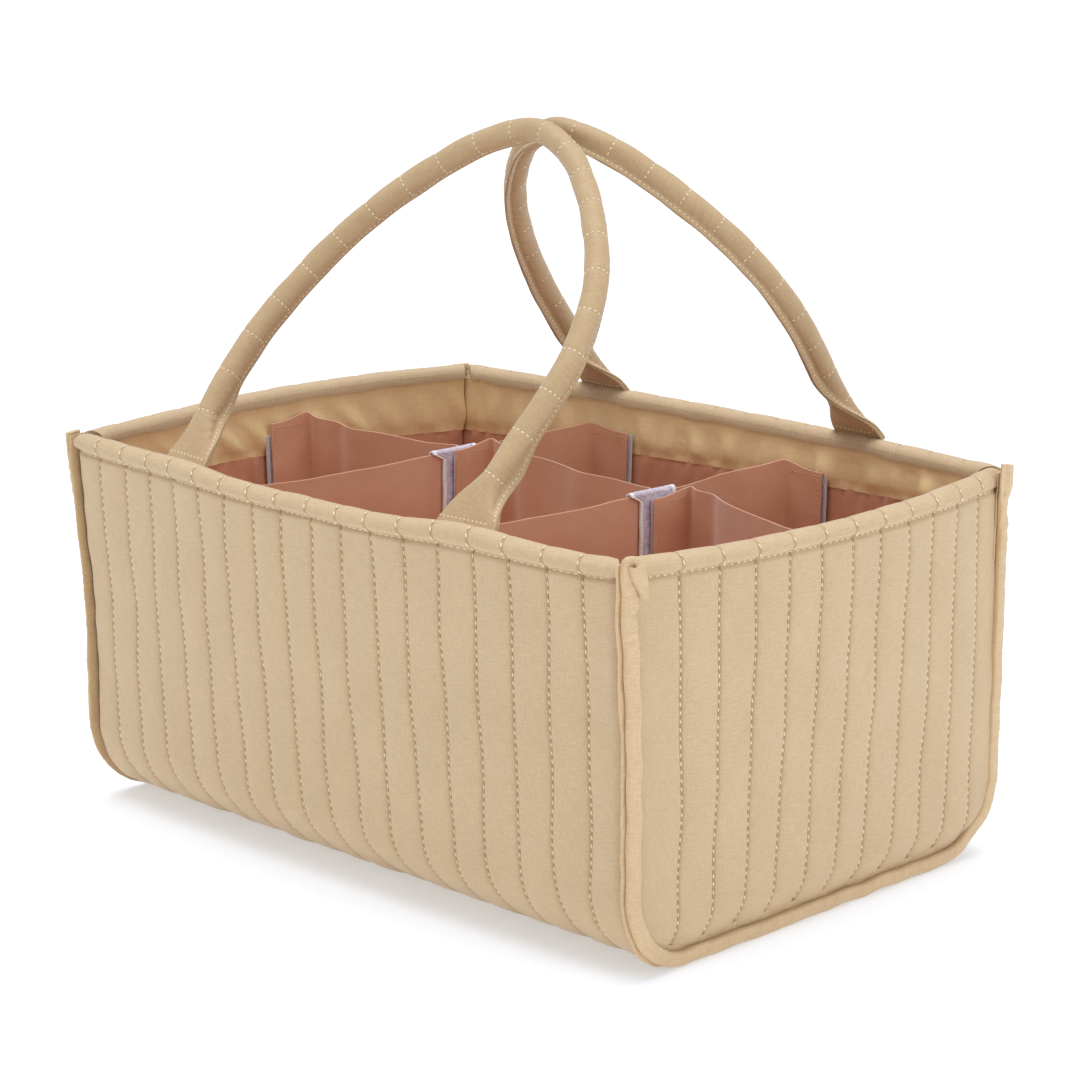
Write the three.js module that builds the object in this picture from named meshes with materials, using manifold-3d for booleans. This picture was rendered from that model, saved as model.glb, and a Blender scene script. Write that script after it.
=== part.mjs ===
// A soft nappy caddy in channel-quilted cotton: one long quilted wrap makes the front, base and rear,
// two quilted end panels close it, a bound seam runs round each end panel, and two padded handles lean
// inwards from the rim. Inside, foam panels and a base board stand behind a lining with a plain facing
// at its top, and five fabric dividers hang on hook-and-loop tape.
//
// Units are millimetres. +X runs along the long walls to the right, +Y to the rear, +Z up.
// The origin is on the floor, under the middle of the caddy.

import * as THREE from 'three';
import { mergeVertices } from 'three/addons/utils/BufferGeometryUtils.js';
import Module from 'manifold-3d';

const wasm = await Module();
wasm.setup();

// Body
const bodyLength = 360; // between the end seams, along X
const bodyWidth = 254; // between the long walls' faces at the end seams, along Y
const bodyHeight = 185; // floor to the top of the rim
const longWallBow = 14; // how far the rim of a long wall swells past its corners
const endWallBow = 14; // how far the rim of an end wall swells past its corners
const turnRadius = 40; // where the long wrap turns under the base

// Layers of the wall, from outside in
const quiltThickness = 5;
const foamThickness = 2.8;
const liningThickness = 1;
const layerGap = 0.3; // air left between two layers or two sewn pieces
const foamGap = 0.8; // air on each side of the loose foam

// Quilting
const channelPitch = 20;
const channelRelief = 2; // depth of a stitched groove below its channel's crown
const hemReliefShare = 0.4; // how much of the relief is left where the stitching crosses the hem
const plainMargin = 8; // flat edge of an end panel, under its binding

// Hem at the rim: the quilt folded over to the inside and topstitched
const hemHeight = 10;
const hemCrease = 1.2; // depth of the crease that the topstitching draws in
const hemCreaseHeight = 2.5;

// Bound seam round each end panel
const bindingWidth = 9;
const bindingThickness = 5.2;
const bindingStandOff = 2.4; // how far it stands past the long wall's face
const bindingRise = 2; // above the rim
const bindingLift = 0.6; // above the floor
const bindingSides = 10;

// Lining, facing, foam and board
const facingHeight = 18; // from the hem down to the lining's seam
const foamEdge = 12; // from a wall's end to its foam panel
const boardInset = 4; // from the end panels to the base board
const boardCornerRadius = 12;

// Handles
const frontFootSpan = 187; // between the middles of the front handle's two feet
const rearFootSpan = 168.6;
const frontHandleShift = -5.5; // along X, as the front handle's feet are sewn
const rearHandleShift = 2.5;
const frontHandleSway = 12; // how far the front handle's arch leans along X past its feet
const rearHandleSway = 7.2;
const swayRise = 125; // along the lean, where a handle has swayed all the way
const handleRise = 194; // foot to apex, along the lean
const handleTip = 7.2; // from the caddy's middle to an apex, so that the two tips touch
const handleRadius = 5.3;
const flangeReach = 8.5; // from the cord's middle to the edge of the sewn flange
const flangeHalfThickness = 0.8;
const handleClothThickness = 1.2;
const coreClearance = 0.3;
const footLength = 38; // over which the round handle flattens
const footWidth = 37;
const footThickness = 2.4;
const footSquareness = 0.3; // of a foot's section: one is an oval, none a box
const footSlit = 0.5; // between the two cloth layers of a foot
const hingeHeight = 1.3; // of the seam that a foot bends on, above the rim

// Dividers and their hook-and-loop tape
const dividerThickness = 2.6;
const dividerDrop = 17; // from the rim to a divider's top edge
const floorClearance = 0.4;
const tabWidth = 25;
const tabThickness = 2;
const hookWidth = 23;
const hookThickness = 1;
const hookShow = 1.2; // how far the hook tape shows past its tab's edge
const hookInset = 3; // from the tab's upper and lower ends
const loopWidth = 34;
const loopThickness = 1.2;
const wallLoopWidth = 24;
const loopFoot = 6; // from the divider's lower edge, or the turn of the lining, to the tape's end
const leftDividerShare = -80 / 180; // places along X, as shares of half the length
const rightDividerShare = 50 / 180;
const loopMiddleShare = 23 / 127; // middle of a cross divider's loop tape, as a share of half the width
const longFoldShares = {
  // where each long divider folds into its tabs, left end then right, as shares of half the width
  left: [20 / 127, 35 / 127],
  middle: [46 / 127, 32 / 127],
  right: [46 / 127, 4 / 127],
};

// Fineness of the curved faces
const longSteps = 18;
const endSteps = 24;
const turnSteps = 3;
const hemSteps = 2;
const handleSteps = 30;
const handleSides = 12;
const coreSides = 8;
const overrun = 3; // how far a cutter runs past what it cuts

const halfLength = bodyLength / 2;
const halfWidth = bodyWidth / 2;
const foamDepth = quiltThickness + foamGap;
const liningDepth = foamDepth + foamThickness + foamGap;
const wallThickness = liningDepth + liningThickness;
const hemThickness = wallThickness;
const hemFoot = bodyHeight - hemHeight;
const seamHeight = hemFoot - layerGap - facingHeight;
const wrapEnd = halfLength - quiltThickness - layerGap;
const liningEdge = halfWidth - wallThickness - layerGap;
const floorTop = wallThickness;
const wallRows = [turnRadius, (turnRadius + seamHeight) / 2, seamHeight];

// The four walls. Each gives the point at a place along it, a depth in from its face, and a height.
function longFace(x, z) {
  return halfWidth + longWallBow * (1 - (x / halfLength) ** 2) * (z / bodyHeight);
}

function endFace(y, z) {
  return halfLength + endWallBow * (1 - (y / halfWidth) ** 2) * (z / bodyHeight);
}

const walls = {
  front: (s, depth, z) => new THREE.Vector3(s, depth - longFace(s, z), z),
  rear: (s, depth, z) => new THREE.Vector3(s, longFace(s, z) - depth, z),
  left: (s, depth, z) => new THREE.Vector3(depth - endFace(s, z), s, z),
  right: (s, depth, z) => new THREE.Vector3(endFace(s, z) - depth, s, z),
};

// Lowest height of an end panel's outline, or of one drawn in from it, at a place across the caddy.
function turnHeight(y, depth = 0) {
  const past = Math.abs(y) - (halfWidth - turnRadius);
  const radius = turnRadius - depth;
  if (past <= 0) return depth;
  return turnRadius - Math.sqrt(Math.max(0, radius ** 2 - past ** 2));
}

// Evenly spaced numbers from a to b, both included.
function spread(a, b, steps) {
  return Array.from({ length: steps + 1 }, (_, i) => a + ((b - a) * i) / steps);
}

// Depth of the quilting at a place along a wall: none on a channel's crown, all on its stitching.
function groove(s, channels, span) {
  const place = ((s + span / 2) / span) * channels;
  return channelRelief * (1 - 2 * Math.abs(place - Math.round(place)));
}

// Geometry from triangles given as points.
function fromTriangles(points) {
  const geometry = new THREE.BufferGeometry();
  const numbers = points.flatMap((p) => [p.x, p.y, p.z]);
  geometry.setAttribute('position', new THREE.Float32BufferAttribute(numbers, 3));
  return geometry;
}

// Closed skin through a row of outlines that all have as many points, with flat ends.
function loft(sections) {
  const count = sections[0].length;
  const triangles = [];
  for (let i = 0; i + 1 < sections.length; i++) {
    for (let k = 0; k < count; k++) {
      const a = sections[i][k];
      const b = sections[i][(k + 1) % count];
      const c = sections[i + 1][(k + 1) % count];
      const d = sections[i + 1][k];
      triangles.push(a, b, c, a, c, d);
    }
  }
  for (const [section, flip] of [[sections[0], true], [sections.at(-1), false]]) {
    for (const [a, b, c] of capOf(section)) {
      const corners = [section[a], section[b], section[c]];
      triangles.push(...(flip ? corners.reverse() : corners));
    }
  }
  return outward(triangles);
}

// Triangles, as point numbers, that fill a flat outline and turn the way the outline does.
function capOf(section) {
  const normal = new THREE.Vector3();
  section.forEach((p, i) => normal.add(new THREE.Vector3().crossVectors(p, section[(i + 1) % section.length])));
  const across = new THREE.Vector3().subVectors(section[1], section[0]).normalize();
  const up = new THREE.Vector3().crossVectors(normal, across).normalize();
  const flat = section.map((p) => new THREE.Vector2(p.dot(across), p.dot(up)));
  return THREE.ShapeUtils.triangulateShape(flat, []);
}

// The same triangles, turned round if they enclose a negative volume.
function outward(triangles) {
  let volume = 0;
  for (let i = 0; i < triangles.length; i += 3) {
    const [a, b, c] = triangles.slice(i, i + 3);
    volume += a.dot(new THREE.Vector3().crossVectors(b, c));
  }
  if (volume < 0) triangles.reverse();
  return fromTriangles(triangles);
}

function toSolid(geometry) {
  const bare = geometry.index ? geometry.toNonIndexed() : geometry.clone();
  bare.deleteAttribute('normal');
  bare.deleteAttribute('uv');
  const merged = mergeVertices(bare, 1e-4);
  return new wasm.Manifold(new wasm.Mesh({
    numProp: 3,
    vertProperties: merged.attributes.position.array,
    triVerts: new Uint32Array(merged.index.array),
  }));
}

function toGeometry(solid) {
  const { vertProperties, triVerts } = solid.getMesh();
  const geometry = new THREE.BufferGeometry();
  geometry.setAttribute('position', new THREE.Float32BufferAttribute(vertProperties, 3));
  geometry.setIndex([...triVerts]);
  return geometry;
}

function join(...geometries) {
  return toGeometry(geometries.map(toSolid).reduce((whole, piece) => whole.add(piece)));
}

function cut(geometry, ...cutters) {
  return toGeometry(cutters.map(toSolid).reduce((whole, cutter) => whole.subtract(cutter), toSolid(geometry)));
}

// Box between two corners.
function block(low, high) {
  const size = new THREE.Vector3().subVectors(high, low);
  const middle = new THREE.Vector3().addVectors(low, high).divideScalar(2);
  return new THREE.BoxGeometry(size.x, size.y, size.z).translate(middle.x, middle.y, middle.z);
}

// Sheet on a wall or on a divider's face, through places along it, between two depths, with a row of
// points at each height. The heights may change along the sheet.
function patch(surface, places, [outer, inner], heights) {
  return loft(places.map((s) => {
    const rows = typeof heights === 'function' ? heights(s) : heights;
    const outside = rows.map((z) => surface(s, outer, z));
    const inside = rows.map((z) => surface(s, inner, z));
    return [...outside, ...inside.reverse()];
  }));
}

// Outline of the folded hem on one wall, as depth and height, from the wall's face over the top
// and down inside. The relief is how deep the quilting is at this place.
function hemOutline(relief) {
  const radius = hemThickness / 2;
  const sunk = relief * hemReliefShare;
  const outline = [
    [relief, hemFoot - hemCreaseHeight],
    [Math.max(hemCrease, relief), hemFoot],
    [sunk, hemFoot + hemCreaseHeight],
  ];
  for (const turn of spread(0, Math.PI, hemSteps)) {
    const reach = radius - sunk;
    outline.push([radius - reach * Math.cos(turn), bodyHeight - radius + reach * Math.sin(turn)]);
  }
  outline.push([hemThickness, hemFoot], [quiltThickness, hemFoot]);
  return outline;
}

// The long quilted wrap: front wall, base and rear wall in one piece.
function wrapSection(x, channels) {
  const relief = groove(x, channels, bodyLength);
  const half = (wall) => {
    const outer = spread(Math.PI / 2, 0, turnSteps).map((turn) => {
      const radius = turnRadius - relief * Math.cos(turn);
      return wall(x, turnRadius - radius * Math.cos(turn), turnRadius - radius * Math.sin(turn));
    });
    const hem = hemOutline(relief).map(([depth, z]) => wall(x, depth, z));
    const innerRadius = turnRadius - quiltThickness;
    const inner = spread(0, Math.PI / 2, turnSteps).map((turn) =>
      wall(x, turnRadius - innerRadius * Math.cos(turn), turnRadius - innerRadius * Math.sin(turn)));
    return [...outer, ...hem, ...inner];
  };
  return [...half(walls.front), ...half(walls.rear).reverse()];
}

function quiltedWrap() {
  const channels = Math.round(bodyLength / channelPitch);
  const places = spread(-halfLength, halfLength, 2 * channels)
    .map((x) => THREE.MathUtils.clamp(x, -wrapEnd, wrapEnd));
  return loft(places.map((x) => wrapSection(x, channels)));
}

// An end panel: a quilted wall with round lower corners and its own folded hem. The hem's inner
// fold stops short of the long walls' hems.
function quiltedEnd(wall, side) {
  const span = bodyWidth - 2 * plainMargin;
  const channels = Math.round(span / channelPitch);
  const turnPlaces = spread(0, Math.PI / 2, 2 * turnSteps)
    .map((turn) => halfWidth - turnRadius + turnRadius * Math.sin(turn));
  const places = [...spread(-span / 2, span / 2, 2 * channels), ...turnPlaces, ...turnPlaces.map((y) => -y)]
    .sort((a, b) => a - b)
    .filter((y, i, all) => i === 0 || y - all[i - 1] > layerGap);
  const panel = loft(places.map((y) => {
    const relief = Math.abs(y) < span / 2 ? groove(y, channels, span) : 0;
    const low = turnHeight(y);
    const outline = [[0, low], [relief, low + bindingWidth], ...hemOutline(relief), [quiltThickness, low]];
    return outline.map(([depth, z]) => wall(y, depth, z));
  }));
  const cutters = [-1, 1].map((end) => {
    const inside = side * (halfLength - wallThickness - overrun);
    const face = side * (halfLength - quiltThickness);
    const near = end * liningEdge;
    const far = end * (halfWidth + overrun);
    return block(
      new THREE.Vector3(Math.min(inside, face), Math.min(near, far), hemFoot - overrun),
      new THREE.Vector3(Math.max(inside, face), Math.max(near, far), bodyHeight + overrun),
    );
  });
  return cut(panel, ...cutters);
}

// The bound seam round one end panel: an oval strip from the rim, round the lower corners, and up again.
function binding(side) {
  const stations = [[halfWidth, bodyHeight + bindingRise, 1, 0]];
  for (const turn of spread(0, Math.PI / 2, 2 * turnSteps)) {
    const [out, down] = [Math.cos(turn), Math.sin(turn)];
    stations.push([halfWidth - turnRadius * (1 - out), turnRadius * (1 - down), out, down]);
  }
  const mirrored = stations.map(([y, z, out, down]) => [-y, z, -out, down]).reverse();
  return loft([...stations, [0, 0, 0, 1], ...mirrored].map(([y, z, out, down]) => {
    const standOff = (bindingStandOff + bindingLift) * Math.abs(out) - bindingLift;
    return Array.from({ length: bindingSides }, (_, k) => {
      const around = (2 * Math.PI * k) / bindingSides;
      const inPlane = standOff - (bindingWidth / 2) * (1 - Math.cos(around));
      const proud = layerGap + (bindingThickness / 2) * (1 + Math.sin(around));
      const [py, pz] = [y + out * inPlane, z - down * inPlane];
      return new THREE.Vector3(side * (endFace(py, pz) + proud), py, pz);
    });
  }));
}

// Lining along the front, base and rear, up to the facing's seam.
function liningWrap() {
  const half = (wall, x) => {
    const arc = (depth) => spread(0, Math.PI / 2, turnSteps).map((turn) => {
      const radius = turnRadius - depth;
      return wall(x, turnRadius - radius * Math.cos(turn), turnRadius - radius * Math.sin(turn));
    });
    const above = wallRows.slice(1);
    const outside = above.map((z) => wall(x, liningDepth, z));
    const inside = above.map((z) => wall(x, wallThickness, z));
    return [...arc(liningDepth).reverse(), ...outside, ...inside.reverse(), ...arc(wallThickness)];
  };
  return loft(spread(-wrapEnd, wrapEnd, longSteps)
    .map((x) => [...half(walls.front, x), ...half(walls.rear, x).reverse()]));
}

// Lining of one end, with round lower corners that follow the long lining's.
function liningEnd(wall) {
  const inset = wallThickness + layerGap;
  const middle = halfWidth - turnRadius;
  const turns = spread(0, Math.PI / 2, turnSteps).map((turn) => middle + (turnRadius - inset) * Math.sin(turn));
  const flat = spread(-middle, middle, endSteps - 2 * turnSteps).slice(1, -1);
  const places = [...turns.map((y) => -y).reverse(), ...flat, ...turns];
  const rows = (y) => [Math.min(turnHeight(y, inset), turnRadius - layerGap), ...wallRows];
  return patch(wall, places, [liningDepth, wallThickness], rows);
}

function facing(wall, reach, steps) {
  const rows = [seamHeight + layerGap, hemFoot - layerGap];
  return patch(wall, spread(-reach, reach, steps), [liningDepth, wallThickness], rows);
}

function foam(wall, reach, steps) {
  const depths = [foamDepth, foamDepth + foamThickness];
  return patch(wall, spread(-reach, reach, steps), depths, [...wallRows, hemFoot - layerGap]);
}

function baseBoard() {
  const x = wrapEnd - boardInset;
  const y = halfWidth - turnRadius;
  const r = boardCornerRadius;
  const outline = new THREE.Shape()
    .moveTo(x - r, -y)
    .absarc(x - r, r - y, r, -Math.PI / 2, 0)
    .absarc(x - r, y - r, r, 0, Math.PI / 2)
    .absarc(r - x, y - r, r, Math.PI / 2, Math.PI)
    .absarc(r - x, r - y, r, Math.PI, Math.PI * 1.5);
  return new THREE.ExtrudeGeometry(outline, { depth: foamThickness, bevelEnabled: false, curveSegments: turnSteps })
    .translate(0, 0, foamDepth);
}

// A handle's cloth and core. The cloth is a tube with a sewn flange on its under side, and it
// flattens into a wide two-layer foot at each end. The curve lies in one leaning plane.
const archRiseShares = [
  // heights up half an arch, as shares of the rise
  0, 0.06, 0.155, 0.31, 0.39, 0.464, 0.541, 0.619, 0.696, 0.773, 0.825, 0.876, 0.928, 0.964,
];
const archShares = {
  // half width of an arch at each of these heights, as a share of half its foot span
  front: [1, 1, 1.035, 1.05, 1.045, 1.019, 0.973, 0.91, 0.818, 0.7, 0.605, 0.498, 0.37, 0.245],
  rear: [1, 1, 1, 1.004, 1.002, 0.98, 0.944, 0.885, 0.805, 0.697, 0.605, 0.5, 0.375, 0.25],
};

function handleFrame(rear) {
  const side = rear ? 1 : -1;
  const [span, middle, sway, shares] = rear
    ? [rearFootSpan, rearHandleShift, rearHandleSway, archShares.rear]
    : [frontFootSpan, frontHandleShift, frontHandleSway, archShares.front];
  const rim = bodyHeight - hemThickness / 2;
  const y = side * (longFace(span / 2, rim) - hemThickness / 2);
  const lean = Math.asin((Math.abs(y) - handleTip) / handleRise);
  const foot = new THREE.Vector3(middle, y, bodyHeight + hingeHeight);
  const up = new THREE.Vector3(0, -side * Math.sin(lean), Math.cos(lean));
  const under = new THREE.Vector3(0, -side * Math.cos(lean), -Math.sin(lean));
  return { foot, up, under, span, sway, shares };
}

function handleCurve({ foot, up, span, sway, shares }) {
  const place = (width, share) => {
    const rise = share * handleRise;
    const x = (width * span) / 2 + sway * THREE.MathUtils.smoothstep(rise, 0, swayRise);
    return foot.clone().addScaledVector(up, rise).add(new THREE.Vector3(x, 0, 0));
  };
  const left = archRiseShares.map((rise, i) => place(-shares[i], rise));
  const right = archRiseShares.map((rise, i) => place(shares[i], rise)).reverse();
  return new THREE.CatmullRomCurve3([...left, place(0, 1), ...right]);
}

// Places along a handle: how far along the curve, and how round the section is there, from a flat
// foot at zero to the tube at one.
function handlePlaces(frame) {
  const curve = handleCurve(frame);
  const length = curve.getLength();
  return spread(0, 1, handleSteps).map((share) => {
    const along = curve.getTangentAt(share);
    const toEnd = Math.min(share, 1 - share) * length;
    return {
      point: curve.getPointAt(share),
      along,
      across: new THREE.Vector3().crossVectors(frame.under, along),
      roundness: THREE.MathUtils.smoothstep(toEnd, 0, footLength),
    };
  });
}

function handleSections(frame, places, round, flat = round) {
  return places.map(({ point, across, roundness }) => round.map(([a, b], k) => {
    const down = THREE.MathUtils.lerp(flat[k][0], a, roundness);
    const wide = THREE.MathUtils.lerp(flat[k][1], b, roundness);
    return point.clone().addScaledVector(frame.under, down).addScaledVector(across, wide);
  }));
}

// Ring of a tube as pairs: towards the handle's under side, and across. It starts just past the
// under side, so that a flange can close it there.
function ring(sides, halfDown, halfWide, squareness = 1) {
  return Array.from({ length: sides }, (_, k) => {
    const turn = (2 * Math.PI * (k + 1 / 2)) / sides;
    const down = Math.cos(turn);
    return [halfDown * Math.sign(down) * Math.abs(down) ** squareness, halfWide * Math.sin(turn)];
  });
}

function handleCloth(frame) {
  const places = handlePlaces(frame);
  const withFlange = (section, reach) =>
    [...section, [reach, -flangeHalfThickness], [reach, flangeHalfThickness]];
  const outer = handleSections(
    frame,
    places,
    withFlange(ring(handleSides, handleRadius, handleRadius), flangeReach),
    withFlange(ring(handleSides, footThickness / 2, footWidth / 2, footSquareness), footThickness / 2),
  );
  const bore = handleRadius - handleClothThickness;
  const inner = handleSections(
    frame,
    places,
    ring(coreSides, bore, bore),
    ring(coreSides, footSlit / 2, footWidth / 2 - handleClothThickness, footSquareness),
  );
  const past = (section, { along }, way) => section.map((p) => p.clone().addScaledVector(along, way * overrun));
  const cavity = [past(inner[0], places[0], -1), ...inner, past(inner.at(-1), places.at(-1), 1)];
  return cut(loft(outer), loft(cavity));
}

function handleCore(frame) {
  const radius = handleRadius - handleClothThickness - coreClearance;
  const places = handlePlaces(frame).filter(({ roundness }) => roundness === 1);
  return loft(handleSections(frame, places, ring(coreSides, radius, radius)));
}

// Faces that a divider's tabs lie on. Depth runs from the face into the compartment.
const dividerX = { left: halfLength * leftDividerShare, right: halfLength * rightDividerShare };
const dividerTop = bodyHeight - dividerDrop;
const dividerFoot = floorTop + floorClearance;

const faces = {
  frontWall: (s, off, z) => walls.front(s, wallThickness + off, z),
  rearWall: (s, off, z) => walls.rear(s, wallThickness + off, z),
  leftWall: (s, off, z) => walls.left(s, wallThickness + off, z),
  rightWall: (s, off, z) => walls.right(s, wallThickness + off, z),
  leftDividerLeft: (s, off, z) => new THREE.Vector3(dividerX.left - dividerThickness / 2 - off, s, z),
  leftDividerRight: (s, off, z) => new THREE.Vector3(dividerX.left + dividerThickness / 2 + off, s, z),
  rightDividerLeft: (s, off, z) => new THREE.Vector3(dividerX.right - dividerThickness / 2 - off, s, z),
  rightDividerRight: (s, off, z) => new THREE.Vector3(dividerX.right + dividerThickness / 2 + off, s, z),
};

// Distances from a face: loop tape, then hook tape, then the tab.
const loopOff = [layerGap, layerGap + loopThickness];
const hookOff = [loopOff[1] + layerGap, loopOff[1] + layerGap + hookThickness];
const tabOff = [hookOff[1] + layerGap, hookOff[1] + layerGap + tabThickness];
const tabFoot = turnRadius + loopFoot;

// A tab that leaves its fold towards one side, and the hook tape on its back.
function tab(face, fold, way) {
  const places = spread(fold - (way * dividerThickness) / 2, fold + way * tabWidth, 2);
  return patch(face, places, tabOff, [tabFoot, dividerTop]);
}

function hookTape(face, fold, way) {
  const edge = fold + way * (tabWidth + hookShow);
  return patch(face, spread(edge - way * hookWidth, edge, 2), hookOff, [tabFoot + hookInset, dividerTop - hookInset]);
}

function wallLoop(face, fold, way) {
  const middle = fold + (way * tabWidth) / 2;
  const places = spread(middle - wallLoopWidth / 2, middle + wallLoopWidth / 2, 2);
  return patch(face, places, loopOff, [tabFoot + hookInset, seamHeight - hookInset]);
}

// A cross divider: one panel from the front wall to the rear, with round lower corners, and a tab at
// each end that turns to the right along its wall.
function crossDivider(x) {
  const middleOff = wallThickness + (tabOff[0] + tabOff[1]) / 2;
  const reach = (z) => longFace(x, z) - middleOff;
  const radius = turnRadius - middleOff;
  const middle = halfWidth - turnRadius;
  const outline = new THREE.Shape()
    .moveTo(-middle, dividerFoot)
    .lineTo(middle, dividerFoot)
    .quadraticCurveTo(middle + radius, dividerFoot, reach(tabFoot), tabFoot)
    .lineTo(reach(dividerTop), dividerTop)
    .lineTo(-reach(dividerTop), dividerTop)
    .lineTo(-reach(tabFoot), tabFoot)
    .quadraticCurveTo(-middle - radius, dividerFoot, -middle, dividerFoot);
  const panel = new THREE.ExtrudeGeometry(outline, {
    depth: dividerThickness, bevelEnabled: false, curveSegments: turnSteps,
  });
  const turn = new THREE.Matrix4().makeBasis(
    new THREE.Vector3(0, 1, 0), new THREE.Vector3(0, 0, 1), new THREE.Vector3(1, 0, 0));
  panel.applyMatrix4(turn).translate(x - dividerThickness / 2, 0, 0);
  return join(panel, tab(faces.frontWall, x, 1), tab(faces.rearWall, x, 1));
}

// Loop tape folded over a cross divider's top edge, so that both of its faces take a tab.
function foldedLoop(x, leftFace, rightFace) {
  const middle = halfWidth * loopMiddleShare;
  const span = [middle - loopWidth / 2, middle + loopWidth / 2];
  const crest = [dividerTop + layerGap, dividerTop + layerGap + loopThickness];
  const heights = [dividerFoot + loopFoot, crest[1]];
  const reach = dividerThickness / 2 + loopOff[1];
  const top = block(new THREE.Vector3(x - reach, span[0], crest[0]), new THREE.Vector3(x + reach, span[1], crest[1]));
  const sides = [leftFace, rightFace].map((face) => patch(face, span, loopOff, heights, span));
  return join(top, ...sides);
}

// A long divider between two faces, slanted in plan, with a tab at each end that turns to the front.
function longDivider([leftFace, rightFace], [leftShare, rightShare]) {
  const folds = [leftShare * halfWidth, rightShare * halfWidth];
  const off = (tabOff[0] + tabOff[1]) / 2;
  const panel = loft([[leftFace, folds[0]], [rightFace, folds[1]]].map(([face, y]) => [
    face(y - dividerThickness / 2, off, dividerFoot),
    face(y + dividerThickness / 2, off, dividerFoot),
    face(y + dividerThickness / 2, off, dividerTop),
    face(y - dividerThickness / 2, off, dividerTop),
  ]));
  return join(panel, tab(leftFace, folds[0], -1), tab(rightFace, folds[1], -1));
}

const materials = {
  quilt: new THREE.MeshStandardMaterial({ color: 0xd2bd94, roughness: 0.7, metalness: 0 }),
  facing: new THREE.MeshStandardMaterial({ color: 0xc2a878, roughness: 0.75, metalness: 0 }),
  lining: new THREE.MeshStandardMaterial({ color: 0xa8745c, roughness: 0.6, metalness: 0 }),
  tape: new THREE.MeshStandardMaterial({ color: 0xe6e0ea, roughness: 0.9, metalness: 0 }),
  foam: new THREE.MeshStandardMaterial({ color: 0xf0eee8, roughness: 0.95, metalness: 0 }),
  board: new THREE.MeshStandardMaterial({ color: 0x8a8478, roughness: 0.9, metalness: 0 }),
};

const caddy = new THREE.Group();

function add(name, geometry, material) {
  const mesh = new THREE.Mesh(geometry, material);
  mesh.name = name;
  caddy.add(mesh);
}

// Outer shell
add('quilted_wrap', quiltedWrap(), materials.quilt);
add('quilted_end_left', quiltedEnd(walls.left, -1), materials.quilt);
add('quilted_end_right', quiltedEnd(walls.right, 1), materials.quilt);
add('binding_left', binding(-1), materials.quilt);
add('binding_right', binding(1), materials.quilt);

// What stands between the shell and the lining
add('foam_front', foam(walls.front, halfLength - foamEdge, longSteps), materials.foam);
add('foam_rear', foam(walls.rear, halfLength - foamEdge, longSteps), materials.foam);
add('foam_left', foam(walls.left, halfWidth - foamEdge, endSteps), materials.foam);
add('foam_right', foam(walls.right, halfWidth - foamEdge, endSteps), materials.foam);
add('base_board', baseBoard(), materials.board);

// Inside
add('facing_front', facing(walls.front, wrapEnd, longSteps), materials.facing);
add('facing_rear', facing(walls.rear, wrapEnd, longSteps), materials.facing);
add('facing_left', facing(walls.left, liningEdge, endSteps), materials.facing);
add('facing_right', facing(walls.right, liningEdge, endSteps), materials.facing);
add('lining_wrap', liningWrap(), materials.lining);
add('lining_left', liningEnd(walls.left), materials.lining);
add('lining_right', liningEnd(walls.right), materials.lining);

// Handles
for (const [name, rear] of [['front', false], ['rear', true]]) {
  const frame = handleFrame(rear);
  add(`${name}_handle_cloth`, handleCloth(frame), materials.quilt);
  add(`${name}_handle_core`, handleCore(frame), materials.foam);
}

// Cross dividers, with the loop tape on the walls that they hang on
for (const side of ['left', 'right']) {
  const x = dividerX[side];
  add(`cross_divider_${side}`, crossDivider(x), materials.lining);
  add(`cross_loop_${side}`, foldedLoop(x, faces[`${side}DividerLeft`], faces[`${side}DividerRight`]), materials.tape);
  for (const wall of ['front', 'rear']) {
    const face = faces[`${wall}Wall`];
    add(`cross_hook_${side}_${wall}`, hookTape(face, x, 1), materials.tape);
    add(`wall_loop_${wall}_${side}`, wallLoop(face, x, 1), materials.tape);
  }
}

// Long dividers, from the left end wall to the right one
const longEnds = {
  left: ['leftWall', 'leftDividerLeft'],
  middle: ['leftDividerRight', 'rightDividerLeft'],
  right: ['rightDividerRight', 'rightWall'],
};

for (const [side, ends] of Object.entries(longEnds)) {
  const shares = longFoldShares[side];
  add(`long_divider_${side}`, longDivider(ends.map((end) => faces[end]), shares), materials.lining);
  ends.forEach((end, i) => {
    const fold = shares[i] * halfWidth;
    add(`long_hook_${side}_${i ? 'right' : 'left'}`, hookTape(faces[end], fold, -1), materials.tape);
    if (end.endsWith('Wall')) add(`wall_loop_${side}`, wallLoop(faces[end], fold, -1), materials.tape);
  });
}

export default caddy;
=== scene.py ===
"""A quilted nappy caddy in tan cotton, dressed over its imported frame.

Lengths are metres in the frame's own axes: +X runs along the long walls to the right, +Y to the
rear and +Z up, with the origin on the floor under the middle of the caddy.
"""

import logging
import math
from collections.abc import Callable
from dataclasses import dataclass, field
from enum import Enum

import bpy
import numpy as np
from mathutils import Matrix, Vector


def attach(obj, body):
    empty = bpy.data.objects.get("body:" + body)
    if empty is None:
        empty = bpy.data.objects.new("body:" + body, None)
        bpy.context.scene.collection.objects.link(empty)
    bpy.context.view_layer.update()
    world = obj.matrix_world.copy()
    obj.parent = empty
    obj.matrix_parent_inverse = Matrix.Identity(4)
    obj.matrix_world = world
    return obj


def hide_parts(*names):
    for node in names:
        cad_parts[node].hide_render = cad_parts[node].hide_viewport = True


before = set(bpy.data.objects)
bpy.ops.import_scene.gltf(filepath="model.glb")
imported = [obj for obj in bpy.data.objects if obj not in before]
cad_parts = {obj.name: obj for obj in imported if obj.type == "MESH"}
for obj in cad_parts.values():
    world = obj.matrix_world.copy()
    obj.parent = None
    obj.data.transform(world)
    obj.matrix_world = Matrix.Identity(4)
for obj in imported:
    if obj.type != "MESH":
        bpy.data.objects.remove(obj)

log = logging.getLogger("caddy")
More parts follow.
